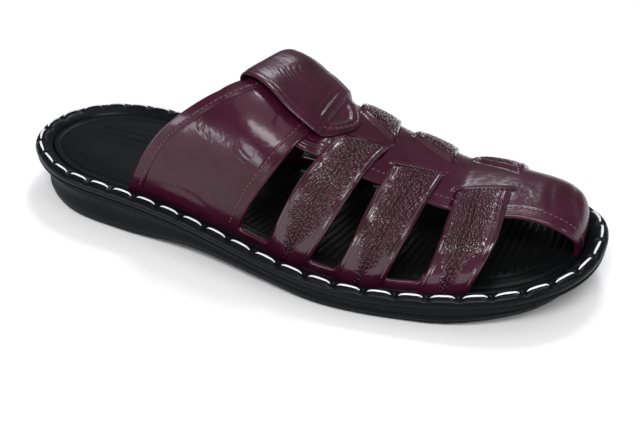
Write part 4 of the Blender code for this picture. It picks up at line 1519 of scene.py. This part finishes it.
def make_band(context):
    """The wide strap over the instep."""
    material = finish(context, "coated_leather")
    stations = np.linspace(0, 1, BAND_STATIONS + 1)
    strap_piece(
        "rear_band", Section(*BAND_SECTION), stations, band_place, on_the_last, UPPER_WALL,
        band_relief, material, "upper",
    )


def cross_strap_place(number):
    """The way of one cross strap over the last."""

    def place(share, to_toe):
        return across_place(share, CROSS_STRAP_REAR[number], CROSS_STRAP_FRONT[number], to_toe)

    return place


def cross_strap_lift(number):
    """A cross strap lies on the last, climbs the centre strap, and dips at its slots."""

    def lift(share, to_toe, row, arc):
        half = centre_half_width(row)
        slot = slot_arc(number, to_toe, half)
        over = UPPER_WALL - STRAP_LAP
        under = CROSS_STRAP_WALL - STRAP_LAP
        up = ramp(-np.abs(arc), -half - BORDER_SLOPE, -half + MM)
        down = ramp(-np.abs(arc), -slot - SLOT_SLOPE, -slot + SLOT_SLOPE)
        return up * over - down * (over + under)

    return lift


def cross_relief(share, to_toe, row, arc, rear, front):
    """Beaded edges and a soft swell between them."""
    swell = CROSS_SWELL * (1 - (2 * to_toe - 1) ** 2) ** CROSS_SWELL_POWER
    return edge_relief(np.minimum(rear, front)) + swell


def make_cross_straps(context):
    """The three embossed straps over the forefoot."""
    material = finish(context, "embossed_coated_leather")
    for number in range(len(SLOTS)):
        strap_piece(
            f"cross_strap_{number + 1}", Section(*CROSS_SECTION),
            np.linspace(0, 1, CROSS_STATIONS + 1), cross_strap_place(number),
            cross_strap_lift(number), CROSS_STRAP_WALL, cross_relief, material, "upper",
        )


def slot_lips(row, arc):
    """The centre strap's rise beside each slot, and its drop under the strap's end."""
    half = centre_half_width(row)
    rise = np.zeros(row.shape)
    for number in range(len(SLOTS)):
        rear = row_of(edge_at(CROSS_STRAP_REAR[number], np.array([SLOT_HEIGHT]))[0])
        front = row_of(edge_at(CROSS_STRAP_FRONT[number], np.array([SLOT_HEIGHT]))[0])
        to_toe = (row - rear) / (front - rear)
        gap = slot_arc(number, np.clip(to_toe, -0.2, 1.2), half) - np.abs(arc)
        length = (front - rear) * SECTION_LENGTH
        past = np.maximum(np.maximum(-to_toe, to_toe - 1) * length, 0)
        lip = SLOT_LIP_RISE * ramp(gap, *SLOT_LIP_EDGE) * (1 - ramp(gap, 0.0, SLOT_LIP_REACH))
        drop = SLOT_DROP * (1 - ramp(gap, -SLOT_DROP_EDGE, 0.0)) * ramp(gap, *SLOT_DROP_REACH)
        rise += lip * bell(past, SLOT_TAIL) - drop * (1 - ramp(past, 0.0, SLOT_DROP_FADE))
    return rise


def make_centre_strap(context):
    """The strap down the ridge, from under the band to the toe."""
    material = finish(context, "coated_leather")
    start = row_of(CENTRE_START)
    dense = np.linspace(start, LAST_END, LAST_ROWS_COUNT)
    place = path_length(on_last(dense, 0.0))
    rows = np.interp(np.linspace(0, place[-1], CENTRE_STATIONS + 1), place, dense)
    shares = np.linspace(0, 1, CENTRE_STATIONS + 1)

    def strap_place(share, to_toe):
        row = np.interp(share, shares, rows)
        return row, (2 * to_toe - 1) * centre_half_width(row)

    def lift(share, to_toe, row, arc):
        under = UPPER_WALL - STRAP_LAP
        up = ramp(row, *(row_of(along) for along in CENTRE_UP))
        return -under * (1 - up)

    def relief(share, to_toe, row, arc, inner, outer):
        nearest = np.minimum(inner, outer)
        swell = CENTRE_SWELL * (1 - (2 * to_toe - 1) ** 2)
        soft = creases(CENTRE_CREASES, to_toe, share, *CENTRE_LEATHER)
        return seam_relief(nearest) + swell + slot_lips(row, arc) + soft

    strap_piece(
        "centre_strap", Section(*CENTRE_SECTION), shares, strap_place, lift, UPPER_WALL, relief,
        material, "upper",
    )


def make_base_lips(context):
    """The border that joins the feet of the straps, rounded into the windows' corners."""
    material = finish(context, "coated_leather")
    along = np.linspace(*LIP_ENDS, LIP_STATIONS + 1)
    edges = [(BAND_REAR_OUTER, BAND_FRONT), *zip(CROSS_STRAP_REAR, CROSS_STRAP_FRONT)]
    gap = np.full(len(along), np.inf)
    for rear, front in edges:
        rear_edge = edge_at(rear, np.array([LIP_SHARE]))[0]
        front_edge = edge_at(front, np.array([LIP_SHARE]))[0]
        outside = np.maximum(rear_edge - along, along - front_edge) * SOLE_LENGTH
        gap = np.minimum(gap, np.maximum(outside, 0))
    corner = np.clip(LIP_FILLET - gap, 0, LIP_FILLET)
    height = LIP_HEIGHT + LIP_FILLET - np.sqrt(LIP_FILLET ** 2 - corner ** 2)
    ends = ramp(along, LIP_ENDS[0], LIP_ENDS[0] + LIP_FADES[0])
    ends = ends * (1 - ramp(along, LIP_ENDS[1] - LIP_FADES[1], LIP_ENDS[1]))
    height = height * (LIP_END_HEIGHT + (1 - LIP_END_HEIGHT) * ends)
    for side, name in ((1, "outer"), (-1, "inner")):

        def strap_place(share, to_toe, side=side):
            row = row_of(LIP_ENDS[0] + (LIP_ENDS[1] - LIP_ENDS[0]) * share)
            tall = np.interp(share, np.linspace(0, 1, len(height)), height)
            return row, side * (half_girth(row, side) - to_toe * tall)

        def lift(share, to_toe, row, arc):
            return np.full(np.broadcast(share, to_toe).shape, -LIP_LAP)

        def relief(share, to_toe, row, arc, foot, top):
            return edge_relief(top)

        strap_piece(
            f"{name}_base_lip", Section(*LIP_SECTION), np.linspace(0, 1, LIP_STATIONS + 1),
            strap_place, lift, UPPER_WALL, relief, material, "upper",
        )


def tab_ring(t, way):
    """0 in the middle of the tab's bend, 1 along its rounded edge."""
    wide = np.abs(t) ** (1 / TAB_ROUNDING[1])
    return wide * (1 - (TAB_END_SHARE * way) ** TAB_ROUNDING[0]) + (
        TAB_END_SHARE * way
    ) ** TAB_ROUNDING[0]


def make_loop(context):
    """The padded strap end folded over the band, with its bordered tab in front."""
    material = finish(context, "coated_leather")
    section = Section(*LOOP_SECTION)
    parts = [np.linspace(part, part + 1, count) for part, count in enumerate(LOOP_STATIONS)]
    steps = np.concatenate([*(part[:-1] for part in parts[:-1]), parts[-1]])[:, None]
    radius = LOOP_WALL / 2
    t = 2 * section.share[None, :] - 1 + section.past[None, :] * radius / (LOOP_WIDTH / 2)
    shape = np.broadcast(t, steps).shape
    t = np.broadcast_to(t, shape)
    steps = np.broadcast_to(steps, shape)
    inner, facing = loop_rail(t, steps)
    way = np.clip(steps - 3, 0, 1)
    edge = LOOP_WIDTH / 2 * (1 - np.abs(2 * section.share[None, :] - 1))
    body = (1 - ramp(way, *LOOP_SWELL_TO)) * ramp(steps, *LOOP_SWELL_FROM)
    swell = LOOP_SWELL * (1 - (2 * section.share[None, :] - 1) ** 2) * body
    swell = swell * (1 - LOOP_FRONT_FLATTENING * ramp(steps, *LOOP_FLAT_FROM))
    over = np.clip(steps - 2, 0, 1)
    inner_side = np.where(t > 0, 1.0, 1.0 + LOOP_INNER_BRIDGE * t * t)
    bridge = LOOP_BRIDGE * np.sin(np.pi * over) * inner_side
    soft = creases(LOOP_CREASES, section.share[None, :], over, *LOOP_LEATHER) * body
    ring = tab_ring(2 * section.share[None, :] - 1, way)
    on_tab = ramp(way, *TAB_RING_FROM)
    slope = (TAB_RING[0] - TAB_RING_SLOPE, TAB_RING[0] + TAB_RING_SLOPE)
    border = TAB_RING_RISE * ramp(ring, *slope)
    trough = STITCH_ROW_DEPTH * bell(ring - TAB_RING[1], TAB_STITCH_TROUGH)
    line = EDGE_LINE_DEPTH / 2 * bell(edge - LOOP_EDGE_LINE, EDGE_BEAD / 2) * body
    raised = swell + soft + on_tab * (border - trough - TAB_SINK) - line
    thin = ramp(np.abs(2 * section.share[None, :] - 1), LOOP_EDGE_FROM, 1.0)
    to_tab = ramp(way, 0.0, TAB_THIN_BY)
    thick = LOOP_WALL * (1 - TAB_THINNING * to_tab) * (1 - LOOP_EDGE_THINNING * thin)
    bridge = bridge + LOOP_WALL * LOOP_EDGE_LIFT * thin * (1 - to_tab)
    lift = section.height[None, :] * thick + raised * section.outer[None, :]
    points = inner + facing * (lift + bridge)[..., None]
    grid_piece(
        "instep_loop_strap", points, material, "instep_loop",
        wrap=(False, True),
    )


def make_seams(context):
    """The rows of small stitches beside the edges of band, centre strap and tab."""
    sizes = context.scene.sandal_sizes
    thread = finish(context, "polyester_seam_thread")

    def row_on(name, row, arc, lift, slot="upper_leather"):
        _, outward, _ = last_axes(row, arc)
        stitch_row(name, lifted(row, arc, lift), outward, sizes, thread)

    share = np.linspace(*SEAM_ENDS, BAND_SEAM_POINTS)
    ends = [on_last(*band_place(share, np.full(len(share), t))) for t in (0.0, 1.0)]
    width = np.linalg.norm(ends[1] - ends[0], axis=1)
    high = np.full(len(share), UPPER_WALL + BAND_SWELL * SEAM_ON_SWELL)
    row_on("band_front_stitches", *band_place(share, 1 - STITCH_ROW / width), high)
    at = (BINDING_WIDTH - BINDING_STITCHES) / width
    row_on("band_binding_stitches", *band_place(share, at), high + BINDING_RISE)
    start = row_of(CENTRE_UP[1])
    rows = np.linspace(start, LAST_END - CENTRE_SEAM_STOP, CENTRE_SEAM_POINTS)
    for side, name in ((1, "outer"), (-1, "inner")):
        arc = side * (centre_half_width(rows) - STITCH_ROW)
        row_on(f"centre_{name}_stitches", rows, arc, np.full(len(rows), UPPER_WALL + 0.05 * MM))
    turn = np.linspace(-1, 1, TAB_SEAM_POINTS)
    way = ((TAB_RING[1] - np.abs(turn) ** (1 / TAB_ROUNDING[1])).clip(0.0, None)) ** (
        1 / TAB_ROUNDING[0]
    )
    keep = way > TAB_SEAM_START
    t = turn[keep]
    way = (way[keep] / TAB_END_SHARE).clip(0, 1)
    body = (1 - (TAB_END_SHARE * way) ** TAB_ROUNDING[0]) ** TAB_ROUNDING[1]
    inner, facing = loop_rail(t / body, 3 + way)
    thick = LOOP_WALL * (1 - TAB_THINNING * ramp(way, 0.0, TAB_THIN_BY))
    thick = thick + TAB_RING_RISE - TAB_SINK
    path = inner + facing * thick[:, None]
    stitch_row("tab_stitches", path, facing, sizes, thread)


def make_stage(context):
    """A pale floor, soft studio lights and the camera at the photograph's angle."""
    colours = context.scene.sandal_colours
    bm = bmesh.new()
    bmesh.ops.create_grid(bm, x_segments=4, y_segments=4, size=FLOOR_REACH)
    mesh = bpy.data.meshes.new("pale_floor")
    bm.to_mesh(mesh)
    bm.free()
    floor = bpy.data.objects.new("pale_floor", mesh)
    # Matt white paint: a bright ground that takes soft shadows and mirrors nothing
    material, _, shader = new_material("painted_floor")
    shader.inputs["Base Color"].default_value = (*colours.floor, 1)
    shader.inputs["Roughness"].default_value = 0.9
    shader.inputs["Specular IOR Level"].default_value = 0.1
    mesh.materials.append(material)
    context.scene.collection.objects.link(floor)

    world = bpy.data.worlds.new("studio")
    world.use_nodes = True
    background = world.node_tree.nodes["Background"]
    background.inputs["Color"].default_value = (*WORLD_TINT, 1)
    background.inputs["Strength"].default_value = WORLD_STRENGTH
    context.scene.world = world
    for name, place, size, power, tint in LAMPS:
        light = bpy.data.lights.new(name, "AREA")
        light.shape = "RECTANGLE"
        light.size, light.size_y = size
        light.energy = power
        light.color = tint
        lamp = bpy.data.objects.new(name, light)
        lamp.location = place
        aim = Vector(LAMP_AIM) - Vector(place)
        lamp.rotation_euler = aim.to_track_quat("-Z", "Y").to_euler()
        context.scene.collection.objects.link(lamp)

    camera = bpy.data.cameras.new("photograph_camera")
    camera.sensor_width = 36.0
    camera.lens = CAMERA_FOCAL * camera.sensor_width
    camera.clip_start = 0.01
    holder = bpy.data.objects.new("photograph_camera", camera)
    back = -Vector(CAMERA_AHEAD)
    turn = Matrix((Vector(CAMERA_RIGHT), Vector(CAMERA_UP), back)).transposed().to_4x4()
    holder.matrix_world = Matrix.Translation(Vector(CAMERA_PLACE) - Vector(ORIGIN)) @ turn
    context.scene.collection.objects.link(holder)
    context.scene.camera = holder
    context.scene.view_settings.view_transform = "Standard"


class SANDAL_OT_make_outsole(bpy.types.Operator):
    """Moulds the outsole, from its underside up to its flange."""

    bl_idname = "sandal.make_outsole"
    bl_label = "Outsole"

    def execute(self, context):
        make_outsole(context)
        return {"FINISHED"}


class SANDAL_OT_make_rim(bpy.types.Operator):
    """Rolls the cushioned rim all round the footbed."""

    bl_idname = "sandal.make_rim"
    bl_label = "Rim"

    def execute(self, context):
        make_rim(context)
        return {"FINISHED"}


class SANDAL_OT_make_rim_stitches(bpy.types.Operator):
    """Sews the thick white stitches of the rim."""

    bl_idname = "sandal.make_rim_stitches"
    bl_label = "Rim stitches"

    def execute(self, context):
        make_rim_stitches(context)
        return {"FINISHED"}


class SANDAL_OT_make_insole(bpy.types.Operator):
    """Presses the ribbed footbed."""

    bl_idname = "sandal.make_insole"
    bl_label = "Footbed"

    def execute(self, context):
        make_insole(context)
        return {"FINISHED"}


class SANDAL_OT_make_band(bpy.types.Operator):
    """Cuts the rear band with its binding and front edge."""

    bl_idname = "sandal.make_band"
    bl_label = "Rear band"

    def execute(self, context):
        make_band(context)
        return {"FINISHED"}


class SANDAL_OT_make_centre_strap(bpy.types.Operator):
    """Cuts the centre strap with the lips of its slots."""

    bl_idname = "sandal.make_centre_strap"
    bl_label = "Centre strap"

    def execute(self, context):
        make_centre_strap(context)
        return {"FINISHED"}


class SANDAL_OT_make_cross_straps(bpy.types.Operator):
    """Cuts and embosses the three cross straps."""

    bl_idname = "sandal.make_cross_straps"
    bl_label = "Cross straps"

    def execute(self, context):
        make_cross_straps(context)
        return {"FINISHED"}


class SANDAL_OT_make_base_lips(bpy.types.Operator):
    """Joins the feet of the straps on both sides."""

    bl_idname = "sandal.make_base_lips"
    bl_label = "Base lips"

    def execute(self, context):
        make_base_lips(context)
        return {"FINISHED"}


class SANDAL_OT_make_loop(bpy.types.Operator):
    """Folds the loop over the band and lays down its tab."""

    bl_idname = "sandal.make_loop"
    bl_label = "Instep loop"

    def execute(self, context):
        make_loop(context)
        return {"FINISHED"}


class SANDAL_OT_make_seams(bpy.types.Operator):
    """Sews the rows of small stitches."""

    bl_idname = "sandal.make_seams"
    bl_label = "Seams"

    def execute(self, context):
        make_seams(context)
        return {"FINISHED"}


class SANDAL_OT_make_stage(bpy.types.Operator):
    """Sets the floor, the soft boxes and the camera."""

    bl_idname = "sandal.make_stage"
    bl_label = "Stage"

    def execute(self, context):
        make_stage(context)
        return {"FINISHED"}


OPERATORS = (
    SANDAL_OT_make_outsole,
    SANDAL_OT_make_rim,
    SANDAL_OT_make_rim_stitches,
    SANDAL_OT_make_insole,
    SANDAL_OT_make_band,
    SANDAL_OT_make_centre_strap,
    SANDAL_OT_make_cross_straps,
    SANDAL_OT_make_base_lips,
    SANDAL_OT_make_loop,
    SANDAL_OT_make_seams,
    SANDAL_OT_make_stage,
)


class SANDAL_PT_panel(bpy.types.Panel):
    """Sizes, colours and pieces of the sandal."""

    bl_label = "Slip-on Sandal"
    bl_idname = "SANDAL_PT_panel"
    bl_space_type = "VIEW_3D"
    bl_region_type = "UI"
    bl_category = "Sandal"

    def draw(self, context):
        layout = self.layout
        for group in (context.scene.sandal_sizes, context.scene.sandal_colours):
            for name in group.bl_rna.properties.keys():
                if name not in ("rna_type", "name"):
                    layout.prop(group, name)
        for operator in OPERATORS:
            layout.operator(operator.bl_idname)


CLASSES = (SandalSizes, SandalColours, *OPERATORS, SANDAL_PT_panel)


def register():
    for item in CLASSES:
        bpy.utils.register_class(item)
    bpy.types.Scene.sandal_sizes = bpy.props.PointerProperty(type=SandalSizes)
    bpy.types.Scene.sandal_colours = bpy.props.PointerProperty(type=SandalColours)


def unregister():
    del bpy.types.Scene.sandal_colours
    del bpy.types.Scene.sandal_sizes
    for item in reversed(CLASSES):
        bpy.utils.unregister_class(item)


def main():
    register()
    for operator in OPERATORS:
        getattr(bpy.ops.sandal, operator.bl_idname.split(".")[1])()


if __name__ == "__main__":
    main()
